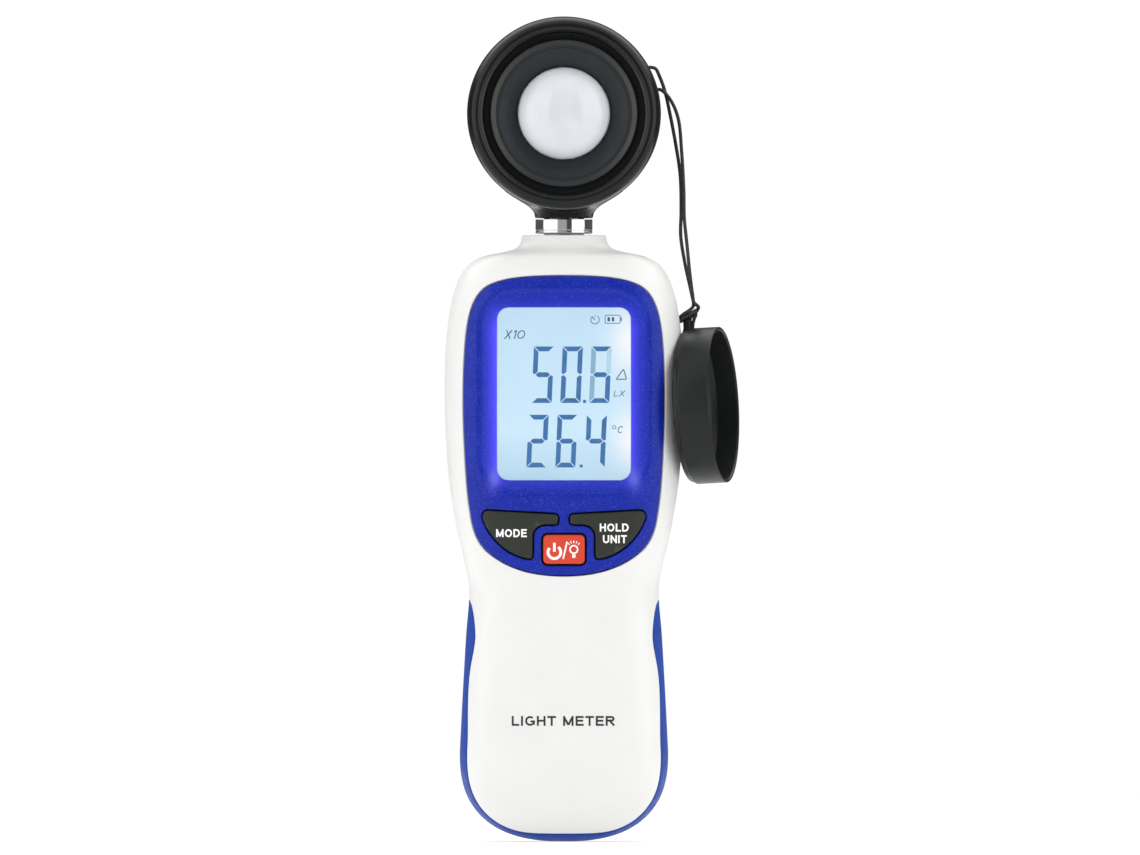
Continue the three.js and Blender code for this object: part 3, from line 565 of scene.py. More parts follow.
def turned(name, profile, matrix, sides=96, crease=38.0):
    """Turns a closed profile of [radius, along] about an axis that the matrix lays out as local X."""
    profile = np.asarray(profile, float)
    angles = np.arange(sides) * 2 * math.pi / sides
    rows, points = [], []
    for radius, reach in profile:
        if radius < 1e-6:
            rows.append([len(points)])
            points.append((reach, 0.0, 0.0))
        else:
            rows.append(list(range(len(points), len(points) + sides)))
            points += [(reach, radius * math.cos(a), radius * math.sin(a)) for a in angles]
    placed = [tuple(matrix @ Vector(point)) for point in points]
    return make_object(name, placed, outward(placed, row_faces(rows, sides)), crease)


def axis_frame(origin, direction, up=(0, 0, 1)):
    """A matrix whose local X runs along a direction."""
    x = Vector(direction).normalized()
    z = (Vector(up) - Vector(up).dot(x) * x).normalized()
    y = z.cross(x)
    return Matrix.Translation(Vector(origin)) @ Matrix((x, y, z)).transposed().to_4x4()


def tube(name, path, radius, sides=14, closed=False):
    """A round tube along a smooth line, with closed ends."""
    path = np.asarray(path, float)
    count = len(path)
    tangents = headings(path, closed)
    side = np.cross(tangents[0], (0.13, 0.97, 0.2))
    points = []
    for point, tangent in zip(path, tangents):
        side = side - tangent * np.dot(side, tangent)
        side /= np.linalg.norm(side)
        other = np.cross(tangent, side)
        for step in range(sides):
            angle = 2 * math.pi * step / sides
            points.append(point + radius * (math.cos(angle) * side + math.sin(angle) * other))
    faces = grid_faces(count, sides, wrap_rows=closed)
    if not closed:
        faces.append(tuple(range(sides - 1, -1, -1)))
        faces.append(tuple((count - 1) * sides + step for step in range(sides)))
    return make_object(name, points, outward(points, faces), 50.0)


def joined(first, *others):
    """Several closed meshes as one piece."""
    points, faces = [], []
    for obj in (first, *others):
        base = len(points)
        points += [tuple(vertex.co) for vertex in obj.data.vertices]
        faces += [[base + corner for corner in face.vertices] for face in obj.data.polygons]
    mesh = bpy.data.meshes.new(first.data.name)
    mesh.from_pydata(points, [], faces)
    mesh.shade_smooth()
    mesh.set_sharp_from_angle(angle=math.radians(38.0))
    first.data = mesh
    for obj in others:
        bpy.data.objects.remove(obj)
    return first


def combined(obj, others, operation):
    """Adds closed meshes to a closed mesh, or takes them away."""
    for other in others:
        modifier = obj.modifiers.new(operation, "BOOLEAN")
        modifier.operation = operation
        modifier.solver = "MANIFOLD"
        modifier.object = other
    settle(obj)
    for other in others:
        bpy.data.objects.remove(other)
    return obj


# ---- Cord -----------------------------------------------------------------------------------

CORD_RADIUS = 0.4
STRAND_HIGH = [
    (19.35, 2.4, 174.25), (20.4, 2.6, 173.6), (21.4, 2.8, 171.9), (22.7, 2.9, 168.3), (23.7, 2.6, 163.8),
    (25.0, 2.0, 157.0), (26.1, 1.1, 149.5), (26.3, 0.6, 141.5), (26.2, 0.3, 136.0), (27.1, 0.2, 130.0),
    (28.3, 0.2, 124.5), (29.1, 0.15, 120.9),
]
STRAND_LOW = [
    (21.5, 2.1, 168.8), (22.7, 1.6, 168.0), (24.4, 1.3, 165.6), (25.7, 1.0, 162.0), (26.4, 0.5, 155.0),
    (26.9, 0.0, 146.0), (27.0, -0.5, 140.0), (27.6, -0.8, 134.0), (28.3, -1.0, 127.0), (29.1, -1.0, 120.9),
]
SLOT_Y = 2.4


def eye_points():
    """The stretch behind the bridge in the head's rim, from the upper exit down to the lower one."""
    reach = [(20.2, 29.9), (19.4, 27.5), (19.4, 22.3), (19.4, 17.0), (20.2, 14.9)]
    return [
        (radius * math.cos(math.radians(angle)), SLOT_Y, HEAD_HEIGHT + radius * math.sin(math.radians(angle)))
        for radius, angle in reach
    ]


def make_cord():
    line = spline([*reversed(STRAND_HIGH[1:]), *eye_points(), *STRAND_LOW], 0.5)
    obj = tube("cap_cord", line, CORD_RADIUS, 12)
    dress(obj, None, "cord_black", replaces=("cap_cord_eye", "cap_cord_strand_high", "cap_cord_strand_low"))
    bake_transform(obj)


make_cord()

# ---- Housing surface ------------------------------------------------------------------------

STATIONS = np.array([
    [20, 23.4, 14.6], [32, 22.8, 14.4], [46, 22.0, 14.2], [57, 21.3, 14.1], [63, 22.4, 14.4],
    [71, 24.2, 15.0], [82, 25.9, 15.7], [100, 26.8, 16.0], [114, 26.3, 16.0], [121.7, 25.1, 15.7],
    [127.1, 23.2, 14.6], [129.6, 21.3, 13.2], [131.3, 18.2, 12.2], [132.3, 13.4, 11.5],
    [133.2, 10.5, 11.3], [134.4, 9.7, 11.3], [136.1, 9.4, 11.4],
])
BOTTOM_ROUND = 20.0
TOP = 136.1
SQUARENESS = 8
SMOOTHING = 0.6


def smoothed_side():
    """Height, half width and half thickness up the housing's side, as a finely sampled smooth line."""
    step, span = 0.1, 30
    upper = along(spline(STATIONS, 2 * step), step)
    reach = np.arange(-span, span + 1) * step
    weights = np.exp(-0.5 * (reach / SMOOTHING) ** 2)
    weights /= weights.sum()
    padded = np.vstack([2 * upper[0] - upper[span:0:-1], upper, 2 * upper[-1] - upper[-2:-span - 2:-1]])
    return np.stack([np.convolve(padded[:, axis], weights, "valid") for axis in range(3)], axis=1)


SIDE = smoothed_side()


def side_at(height):
    """Half width and half thickness at a height."""
    height = np.clip(np.asarray(height, float), 1e-6, TOP)
    low = (1 - np.clip(1 - height / BOTTOM_ROUND, 0, 1) ** 2.5) ** 0.4
    width = np.where(height < BOTTOM_ROUND, SIDE[0, 1] * low, np.interp(height, SIDE[:, 0], SIDE[:, 1]))
    thick = np.where(height < BOTTOM_ROUND, SIDE[0, 2] * low, np.interp(height, SIDE[:, 0], SIDE[:, 2]))
    return width, thick


def inside(x, y, height):
    """Below one inside the housing and above one outside it."""
    width, thick = side_at(height)
    outside = (height < 0) | (height > TOP + 0.05)
    value = ((x * x + y * y) / width ** 2) ** (SQUARENESS / 2) + (np.abs(y) / thick) ** SQUARENESS
    return np.where(outside, 2.0, value)


def face_depth(x, height):
    """How far the surface stands from the parting plane, straight in front of a point."""
    low, high = np.zeros_like(x), side_at(height)[1]
    for _ in range(36):
        middle = (low + high) / 2
        within = inside(x, middle, height) < 1
        low, high = np.where(within, middle, low), np.where(within, high, middle)
    return low


def outline_table():
    """Distance up the housing's edge from the middle of its foot, with half width and height."""
    turn = np.linspace(0, math.pi / 2, 400)[:-1]
    foot = np.stack([SIDE[0, 1] * np.sin(turn) ** 0.8, BOTTOM_ROUND * (1 - np.cos(turn) ** 0.8)], axis=1)
    edge = np.vstack([foot, SIDE[:, [1, 0]]])
    edge = edge[np.concatenate([[True], np.linalg.norm(np.diff(edge, axis=0), axis=1) > 1e-6])]
    return distances(edge), edge[:, 0], edge[:, 1]


RUN, RUN_WIDTH, RUN_HEIGHT = outline_table()
RUN_TOP = RUN[-1]
WRAP = 22.0
BACK_FLAT, BACK_LOW, BACK_HIGH, BACK_FADE, BACK_EDGE = 15.6, 58.5, 126.5, 3.0, 0.35
EDGE_STEP = 0.3


def flat_back(points):
    """Planes the middle of the back off level, with a soft edge."""
    x, y, height = points.T
    fade = np.clip((height - BACK_LOW) / BACK_FADE, 0, 1) * np.clip((BACK_HIGH - height) / BACK_FADE, 0, 1)
    over = np.maximum(BACK_EDGE - np.abs(y - BACK_FLAT), 0) / BACK_EDGE
    level = np.minimum(y, BACK_FLAT) - over * over * BACK_EDGE / 4
    return np.stack([x, np.where(y > 0, y + (level - y) * fade, y), height], axis=1)


def front(uv):
    """In front of the housing: across and height."""
    return np.stack([uv[:, 0], -face_depth(uv[:, 0], uv[:, 1]), uv[:, 1]], axis=1)


def rear(uv):
    """Behind the housing, seen from behind: across and height."""
    return flat_back(np.stack([-uv[:, 0], face_depth(uv[:, 0], uv[:, 1]), uv[:, 1]], axis=1))


def round_housing(uv, middle):
    """Round the housing: turn from the middle of the front or back, and distance up the edge."""
    angle = middle + uv[:, 0] / WRAP
    height = np.interp(uv[:, 1], RUN, RUN_HEIGHT)
    width, thick = side_at(height)
    radius = (width ** -SQUARENESS + (np.abs(np.sin(angle)) / thick) ** SQUARENESS) ** (-1 / SQUARENESS)
    return flat_back(np.stack([radius * np.cos(angle), radius * np.sin(angle), height], axis=1))


def round_front(uv):
    return round_housing(uv, -math.pi / 2)


def round_rear(uv):
    return round_housing(uv, math.pi / 2)


def to_round(points, middle):
    """The place of surface points on the wrapped front or back."""
    points = np.asarray(points, float)
    turn = np.arctan2(points[:, 1], points[:, 0]) - middle
    turn = (turn + math.pi) % (2 * math.pi) - math.pi
    return np.stack([turn * WRAP, np.interp(points[:, 2], RUN_HEIGHT, RUN)], axis=1)


def edge_place(run):
    """Half width and height on the housing's edge, this far from the middle of its foot."""
    return np.stack([np.interp(np.abs(run), RUN, RUN_WIDTH) * np.where(run < 0, -1, 1),
                     np.interp(np.abs(run), RUN, RUN_HEIGHT)], axis=1)


def edge_band(uv):
    """Round the housing's edge: across it, and distance along it from the middle of the foot."""
    y, run = uv[:, 0], np.abs(uv[:, 1])
    side = np.sign(uv[:, 1]) + (uv[:, 1] == 0)
    start = edge_place(run)
    tangent = unit(edge_place(run + EDGE_STEP) - edge_place(run - EDGE_STEP))
    inward = np.stack([-tangent[:, 1], tangent[:, 0]], axis=1)
    low, high = np.full(len(y), -0.4), np.full(len(y), 9.0)
    for _ in range(40):
        middle = (low + high) / 2
        at = start + inward * middle[:, None]
        within = inside(at[:, 0], y, at[:, 1]) < 1
        low, high = np.where(within, low, middle), np.where(within, middle, high)
    at = start + inward * high[:, None]
    return np.stack([at[:, 0] * side, y, at[:, 1]], axis=1)


# ---- Skins ----------------------------------------------------------------------------------


def even_loop(points, spacing, corner=28.0):
    """A closed loop in steps of about this length that keeps its corners."""
    points = np.asarray(points, float)
    keep = np.linalg.norm(points - np.roll(points, 1, axis=0), axis=1) > 1e-5
    points = points[keep]
    arriving = points - np.roll(points, 1, axis=0)
    leaving = np.roll(points, -1, axis=0) - points
    turn = np.arctan2(leaving[:, 1], leaving[:, 0]) - np.arctan2(arriving[:, 1], arriving[:, 0])
    turn = (turn + math.pi) % (2 * math.pi) - math.pi
    corners = list(np.nonzero(np.degrees(np.abs(turn)) > corner)[0])
    if not corners:
        return along(points, spacing, closed=True)
    loop = []
    for at, start in enumerate(corners):
        end = corners[(at + 1) % len(corners)]
        stretch = points[start:end + 1] if end > start else np.vstack([points[start:], points[:end + 1]])
        marks = distances(stretch)
        count = max(int(round(marks[-1] / spacing)), 1)
        loop.append(sampled(np.linspace(0, marks[-1], count + 1)[:-1], marks, stretch))
    return np.vstack(loop)


def wound(loop, anticlockwise=True):
    """A closed loop that runs the wanted way round."""
    x, y = loop[:, 0], loop[:, 1]
    area = np.sum(x * np.roll(y, -1) - np.roll(x, -1) * y)
    return loop if (area > 0) == anticlockwise else loop[::-1].copy()


def within_loops(points, loops):
    """Which points are inside the first loop and outside the others."""
    hit = np.zeros(len(points), int)
    for loop in loops:
        start, end = loop, np.roll(loop, -1, axis=0)
        for a, b in zip(start, end):
            if a[1] == b[1]:
                continue
            crosses = (points[:, 1] > a[1]) != (points[:, 1] > b[1])
            reach = (b[0] - a[0]) * (points[:, 1] - a[1]) / (b[1] - a[1]) + a[0]
            hit += crosses & (points[:, 0] < reach)
    return hit % 2 == 1


def fill_points(loops, spacing, extra=()):
    """An even scatter of points inside the loops, clear of their edges."""
    low, high = loops[0].min(0), loops[0].max(0)
    rows = np.arange(low[1], high[1], spacing * 0.866)
    scatter = []
    for index, row in enumerate(rows):
        across = np.arange(low[0] + (index % 2) * spacing / 2, high[0], spacing)
        scatter.append(np.stack([across, np.full_like(across, row)], axis=1))
    guards = np.vstack(loops)
    kept = np.zeros((0, 2))
    for group, clear in ((np.vstack(extra) if len(extra) else kept, 0.5), (np.vstack(scatter), 0.62)):
        if not len(group):
            continue
        group = group[within_loops(group, loops)]
        others = np.vstack([guards, kept])
        near = np.array([np.min(np.sum((others - point) ** 2, axis=1)) for point in group])
        kept = np.vstack([kept, group[near > (clear * spacing) ** 2]])
    return kept


def flat_triangles(loops, flat):
    """Triangles, wound anticlockwise, that join flat points inside the loops."""
    edges, base = [], 0
    for loop in loops:
        edges += [(base + at, base + (at + 1) % len(loop)) for at in range(len(loop))]
        base += len(loop)
    _, _, found, origins, _, _ = delaunay_2d_cdt([Vector(p) for p in flat], edges, [], 0, 1e-6)
    names = [origin[0] if origin else -1 for origin in origins]
    triangles = np.array([[names[corner] for corner in tri] for tri in found])
    triangles = triangles[(triangles >= 0).all(1)]
    triangles = triangles[within_loops(flat[triangles].mean(1), loops)]
    first, second, third = (flat[triangles[:, corner]] for corner in range(3))
    ahead, aside = second - first, third - first
    area = ahead[:, 0] * aside[:, 1] - ahead[:, 1] * aside[:, 0]
    return np.where((area > 0)[:, None], triangles, triangles[:, ::-1])[np.abs(area) > 1e-9]


def inward_normals(rim, up):
    """For each point of a closed rim, the way inwards along the surface, longer at a corner."""
    arriving, leaving = unit(rim - np.roll(rim, 1, axis=0)), unit(np.roll(rim, -1, axis=0) - rim)
    tangent = unit(arriving + leaving)
    return unit(np.cross(up, tangent)) / np.maximum(np.sum(tangent * leaving, axis=1), 0.6)[:, None]


def skin(name, surface, outline, holes=(), thick=1.5, edge=0.3, spacing=1.1, lift=0.0, extra=(), steps=3):
    """A sheet that follows a surface inside an outline, with rounded edges and a true thickness."""
    loops = [wound(even_loop(outline, spacing * 0.75))]
    loops += [wound(even_loop(hole, spacing * 0.6), False) for hole in holes]
    flat = np.vstack([*loops, fill_points(loops, spacing, extra)])
    triangles = flat_triangles(loops, flat)

    reach = 0.04
    across = surface(flat + (reach, 0)) - surface(flat - (reach, 0))
    upward = surface(flat + (0, reach)) - surface(flat - (0, reach))
    normals = unit(np.cross(across, upward))
    points = surface(flat) + normals * lift

    top, back = points.copy(), points - normals * thick
    rows, shading, chains = [], [], []
    base, count = 0, len(top)
    for loop in loops:
        at = np.arange(base, base + len(loop))
        base += len(loop)
        rim, up = points[at], normals[at]
        inner = inward_normals(rim, up)
        top[at] = rim + inner * edge
        back[at] = top[at] - up * thick
        for turn in np.linspace(0, math.pi / 2, steps + 1)[1:]:
            rows.append(rim + inner * edge * (1 - math.sin(turn)) - up * edge * (1 - math.cos(turn)))
            shading.append(up * math.cos(turn) - inner * math.sin(turn))
        rows.append(rim - up * thick)
        shading.append(-inner)
        between = [np.arange(count + row * len(at), count + (row + 1) * len(at)) for row in range(steps + 1)]
        count += (steps + 1) * len(at)
        chains.append((at, between))
    faces = []
    for at, between in chains:
        chain = [at, *between, at + count]
        for above, below in zip(chain[:-1], chain[1:]):
            for step in range(len(at)):
                ahead = (step + 1) % len(at)
                faces.append((above[step], below[step], below[ahead], above[ahead]))
    faces += [tuple(tri) for tri in triangles]
    faces += [tuple(tri[::-1] + count) for tri in triangles]
    shading = np.vstack([normals, *shading, -normals])
    return make_object(name, np.vstack([top, *rows, back]), faces, normals=shading)


# ---- Outlines -------------------------------------------------------------------------------


def bezier(*corners, steps=14):
    """Points of a quadratic or cubic curve, without its first."""
    corners = [np.asarray(corner, float) for corner in corners]
    found = []
    for step in range(1, steps + 1):
        t = step / steps
        row = corners
        while len(row) > 1:
            row = [(1 - t) * a + t * b for a, b in zip(row[:-1], row[1:])]
        found.append(row[0])
    return found


def mirror(points):
    """The other side's points, in the order that carries on round the outline."""
    return [(-x, y) for x, y in reversed([tuple(point) for point in points])]


def bezel_outline():
    half = [(0, 59.4)]
    for corners in (
        [(7.5, 59.4), (13, 61.2), (17.4, 65.0)], [(19.5, 67.0), (20.5, 69.5), (21.0, 73.5)],
        [(21.6, 77.0), (21.9, 81.0), (22.2, 87.0)], [(22.7, 96.0), (22.7, 104.0), (22.1, 112.1)],
        [(21.6, 118.0), (20.5, 122.8), (17.2, 124.7)], [(14, 126.5), (9, 127.1), (0, 127.1)],
    ):
        half += bezier(half[-1], *corners)
    return np.array([*half, *mirror(half)[1:-1]])


def rounded_box(width, tall, middle, corner, across=0.0, steps=8):
    """A box with round corners, given its size and the height of its middle."""
    points = []
    for quarter, (sx, sy) in enumerate(((1, 1), (-1, 1), (-1, -1), (1, -1))):
        centre = (across + sx * (width / 2 - corner), middle + sy * (tall / 2 - corner))
        for step in range(steps + 1):
            angle = (quarter + step / steps) * math.pi / 2
            points.append((centre[0] + corner * math.cos(angle), centre[1] + corner * math.sin(angle)))
    return np.array(points)


def mode_outline():
    points = [(-17.2, 74.0)]
    points += bezier(points[-1], (-18.4, 73.8), (-18.2, 72.4), steps=6)
    points += bezier(points[-1], (-16.6, 67.8), (-12.8, 64.0), (-7.9, 63.2))
    points += bezier(points[-1], (-7.1, 63.1), (-7.05, 63.9), steps=6)
    points += [(-7.05, 68.6)]
    points += bezier(points[-1], (-6.6, 70.8), (-4.0, 70.95), steps=8)
    points += [(-2.0, 70.95)]
    points += bezier(points[-1], (-1.35, 71.0), (-1.35, 71.6), steps=5)
    points += [(-1.35, 72.5)]
    points += bezier(points[-1], (-1.4, 73.1), (-2.0, 73.2), steps=5)
    return np.array(points)


def grown(outline, distance):
    """A closed outline moved outwards."""
    loop = wound(along(outline, 0.3, closed=True))
    tangent = headings(loop, True)
    return loop + np.stack([tangent[:, 1], -tangent[:, 0]], axis=1) * distance


def drawn_in(outline):
    """A panel outline with its heights drawn in a little towards the middle of the display."""
    return np.stack([outline[:, 0], LCD_MIDDLE + (outline[:, 1] - LCD_MIDDLE) * 0.991], axis=1)


POWER_MIDDLE, POWER_SIZE = 65.6, (9.3, 6.5)
BEZEL = drawn_in(bezel_outline())
MODE_KEY = drawn_in(mode_outline())
HOLD_KEY = np.array(mirror(MODE_KEY))
POWER_KEY = rounded_box(*POWER_SIZE, POWER_MIDDLE, 0.9)
DOOR = rounded_box(35.6, 46.2, 37.1, 3.0)
WINDOW = rounded_box(2 * WINDOW_HALF[0], 2 * WINDOW_HALF[1], LCD_MIDDLE, 2.6)

# ---- Grip band and shells -------------------------------------------------------------------

BAND_SIDE = spline([(0, 54.4), (5.5, 52.6), (8.8, 46.5), (7.0, 36), (8.2, 21), (7.6, 8), (7.4, -2)], 0.4)
BAND_TOP = 54.4


def run_at(height):
    """Distance up the housing's edge at a height."""
    return np.interp(height, RUN_HEIGHT, RUN)


def band_side(extra):
    """One side of the band's edge, from its right tip down round the foot and up to its left tip."""
    tip = BAND_SIDE[BAND_SIDE[:, 1] > 3.0]
    tip = tip + np.stack([np.full(len(tip), extra) * np.clip(tip[:, 0] / 2, 0, 1),
                          np.full(len(tip), extra) * np.clip(1 - tip[:, 0] / 6, 0, 1)], axis=1)
    width = tip[-1, 0]
    upper = np.stack([tip[:, 0], run_at(tip[:, 1])], axis=1)
    foot = np.linspace(run_at(tip[-1, 1]), 0, 12)[1:]
    half = np.vstack([upper, np.stack([np.full(len(foot), width), foot], axis=1)])
    return np.vstack([half, (half * (1, -1))[::-1][1:]])


def band_outline():
    right = band_side(0.0)
    left = (right * (-1, 1))[::-1][1:-1]
    return np.vstack([right, left])


def shell_edge(sign):
    """Where a shell meets the band, from its right tip round the foot to its left tip."""
    points = edge_band(band_side(0.25) * (sign, 1))
    return points if sign < 0 else points[::-1]


PARTING = 0.15


def shell_outline(sign):
    """A shell's whole edge in the wrapped front or back."""
    middle = sign * math.pi / 2
    band = shell_edge(sign)
    band = band[np.abs(band[:, 1]) > PARTING * 1.2]
    low = to_round(band, middle)
    low = low[::-1] if low[0, 0] > low[-1, 0] else low
    runs = np.linspace(run_at(BAND_TOP + 0.3), RUN_TOP - 0.01, 80)
    heights = np.interp(runs, RUN, RUN_HEIGHT)
    back_off = np.arcsin(np.clip(PARTING / side_at(heights)[0], 0, 1))
    half_turn = (math.pi / 2 - back_off) * WRAP
    right = np.stack([half_turn, runs], axis=1)
    left = np.stack([-half_turn, runs], axis=1)[::-1]
    top = np.stack([np.linspace(right[-1, 0], left[0, 0], 40)[1:-1], np.full(38, runs[-1])], axis=1)
    return np.vstack([low, right, top, left])


def on_round(outline, place, middle):
    """An outline seen from straight in front or behind, carried to the wrapped surface."""
    return to_round(place(np.asarray(outline, float)), middle)


def circle(x, height, radius, count=28):
    turn = np.arange(count) * 2 * math.pi / count
    return np.stack([x + radius * np.cos(turn), height + radius * np.sin(turn)], axis=1)


SCREW_PLACES = [(-15, 127), (15, 127), (-9, 6.4), (9, 6.4)]
FRONT_TURN, REAR_TURN = -math.pi / 2, math.pi / 2

SHELL_THICK = 2.4

front_shell = skin("front_shell_skin", round_front, shell_outline(-1),
                   [on_round(grown(BEZEL, 0.25), front, FRONT_TURN)], thick=SHELL_THICK)
dress(front_shell, "housing", "white_abs", replaces=("front_shell",))

rear_holes = [on_round(grown(DOOR, 0.35), rear, REAR_TURN)]
rear_holes += [on_round(circle(-x, height, 2.3), rear, REAR_TURN) for x, height in SCREW_PLACES]
rear_shell = skin("rear_shell_skin", round_rear, shell_outline(1), rear_holes, thick=SHELL_THICK, edge=0.25)
dress(rear_shell, "housing", "white_abs", replaces=("rear_shell",))

grip = skin("grip_band_skin", edge_band, band_outline(), thick=1.2, edge=0.35, spacing=1.2)
dress(grip, "housing", "blue_grip", replaces=("grip_band",))

NECK_AXIS = axis_frame((0, 0, 0), (0, 0, 1), up=(1, 0, 0))
neck_seat = softened([(4.85, 133.0), (7.6, 133.0), (7.6, 136.02), (4.85, 136.02)], 0.15)
dress(turned("neck_seat", neck_seat, NECK_AXIS, 72), "housing", "white_abs")

# ---- Bezel and keys -------------------------------------------------------------------------

DISH = rounded_box(2 * DISH_HALF[0], 2 * DISH_HALF[1], DISH_MIDDLE, DISH_CORNER)
DISH_DEPTH = 0.5


def dish_distance(uv):
    """Distance outside the dish's edge, negative inside it."""
    x = np.abs(uv[:, 0]) - (DISH_HALF[0] - DISH_CORNER)
    y = np.abs(uv[:, 1] - DISH_MIDDLE) - (DISH_HALF[1] - DISH_CORNER)
    outside = np.hypot(np.maximum(x, 0), np.maximum(y, 0))
    return outside + np.minimum(np.maximum(x, y), 0) - DISH_CORNER


def dished(uv):
    """The bezel's face: sunk a little round the display."""
    points = front(uv)
    t = np.clip(0.5 - dish_distance(uv) / DISH_SLOPE, 0, 1)
    points[:, 1] += DISH_DEPTH * t * t * (3 - 2 * t)
    return points


DISH_SLOPE = 1.5
dish_rings = [along(grown(DISH, offset), 0.7, closed=True) for offset in (-0.75, -0.4, 0.0, 0.4, 0.75)]
key_holes = [grown(outline, gap) for outline, gap in ((MODE_KEY, 0.32), (HOLD_KEY, 0.32), (POWER_KEY, 0.42))]
bezel = skin("display_bezel_skin", dished, BEZEL, [WINDOW, *key_holes], edge=0.28, spacing=1.0,
             extra=dish_rings)
dress(bezel, "housing", "blue_panel", replaces=("display_bezel",))

for key_name, key_loop, key_slot in (
    ("mode_key", MODE_KEY, "key_olive"), ("hold_key", HOLD_KEY, "key_olive"),
    ("power_key", POWER_KEY, "key_red"),
):
    key = skin(key_name + "_cap", front, key_loop, thick=2.9, edge=0.42, spacing=0.8, lift=0.35, steps=4)
    dress(key, key_name, key_slot, replaces=(key_name,))

# ---- Battery door ---------------------------------------------------------------------------


RECESS_HEIGHT, RECESS_RADIUS, RECESS_SQUASH, RECESS_Y = 53.5, 9.0, 0.55, 22.2
RECESS_EDGE = 0.5


def door_face(uv):
    """The door's face with its thumb recess."""
    points = rear(uv)
    x, y, height = points.T
    rise = (height - RECESS_HEIGHT) / RECESS_SQUASH
    within = np.clip(1 - (x / RECESS_RADIUS) ** 2 - (rise / RECESS_RADIUS) ** 2, 0, 1)
    ball = np.where(within > 0, RECESS_Y - RECESS_RADIUS * np.sqrt(within), 99.0)
    over = np.maximum(RECESS_EDGE - np.abs(y - ball), 0) / RECESS_EDGE
    points[:, 1] = np.minimum(y, ball) - over * over * RECESS_EDGE / 4
    return points


recess_rings = [rounded_box(2 * a, 2 * b, RECESS_HEIGHT, min(a, b) * 0.98)
                for a, b in ((4.2, 2.4), (3.4, 1.9), (2.4, 1.3))]
door = skin("battery_door_skin", door_face, DOOR, thick=1.6, edge=0.3, spacing=0.9, extra=recess_rings)
dress(door, "battery_door", "white_abs", replaces=("battery_door",))

# ---- Display --------------------------------------------------------------------------------


def prism(name, outline, near, far):
    """A closed front-view outline as a plate from one y to another."""
    outline = wound(np.asarray(outline, float))
    count = len(outline)
    low = np.stack([outline[:, 0], np.full(count, float(near)), outline[:, 1]], axis=1)
    high = np.stack([outline[:, 0], np.full(count, float(far)), outline[:, 1]], axis=1)
    faces = [tuple(range(count)), tuple(range(2 * count - 1, count - 1, -1))]
    faces += [(at, at + count, (at + 1) % count + count, (at + 1) % count) for at in range(count)]
    points = np.vstack([low, high])
    return make_object(name, points, faces)


def stroke(path, width, closed=False):
    """Quads that draw a line of this width along a path."""
    path = np.asarray(path, float)
    tangent = headings(path, closed)
    side = np.stack([-tangent[:, 1], tangent[:, 0]], axis=1) * width / 2
    left, right = path + side, path - side
    pairs = range(len(path) if closed else len(path) - 1)
    return [[left[at], left[(at + 1) % len(path)], right[(at + 1) % len(path)], right[at]] for at in pairs]


def printed(name, shapes, near, far, surface=None):
    """Many small flat shapes melted into one thin layer, on a plane or on a surface."""
    first, *others = [prism(f"{name}_{index}", shape, near, far) for index, shape in enumerate(shapes)]
    obj = combined(first, others, "UNION") if others else first
    obj.name = name
    if surface:
        for vertex in obj.data.vertices:
            x, height = vertex.co.x * 1000, (vertex.co.z - FOOT) * 1000
            vertex.co.y += float(surface(np.array([[x, height]]))[0, 1]) * 0.001
    return obj


INK_NEAR, INK_FAR = -12.76, -12.72
SEGMENT = 1.08
SLIT = 0.13
SLANT = 0.045
DIGITS = {"0": "abcdef", "2": "abged", "4": "fgbc", "5": "afgcd", "6": "afgedc"}


def segment_shapes(letters, x, foot, wide, tall):
    """The bars of one seven-bar figure, leaning a little."""
    t, g, half = SEGMENT, SLIT, tall / 2
    top = [(g, 0), (wide - g, 0), (wide - t - g, -t), (t + g, -t)]
    side = [(0, -g), (t, -t - g), (t, t / 2 + g - half), (t * 0.45, g * 0.8 - half), (0, t * 0.3 - half)]
    bars = {
        "a": [(px, tall + py) for px, py in top],
        "d": [(px, -py) for px, py in top],
        "f": [(px, tall + py) for px, py in side],
        "b": [(wide - px, tall + py) for px, py in side],
        "e": [(px, -py) for px, py in side],
        "c": [(wide - px, -py) for px, py in side],
        "g": [(t * 0.5 + g, half), (t + g, half + t / 2), (wide - t - g, half + t / 2),
              (wide - t * 0.5 - g, half), (wide - t - g, half - t / 2), (t + g, half - t / 2)],
    }
    return [[(x + px + SLANT * py, foot + py) for px, py in bars[letter]] for letter in letters]


def rectangle(x0, y0, x1, y1):
    return [(x0, y0), (x1, y0), (x1, y1), (x0, y1)]


def arc(centre, radii, start, end, steps=8):
    """Points on part of an ellipse, between two angles from the right, in degrees."""
    angles = np.radians(np.linspace(start, end, steps + 1))
    return [(centre[0] + radii[0] * math.cos(a), centre[1] + radii[1] * math.sin(a)) for a in angles]


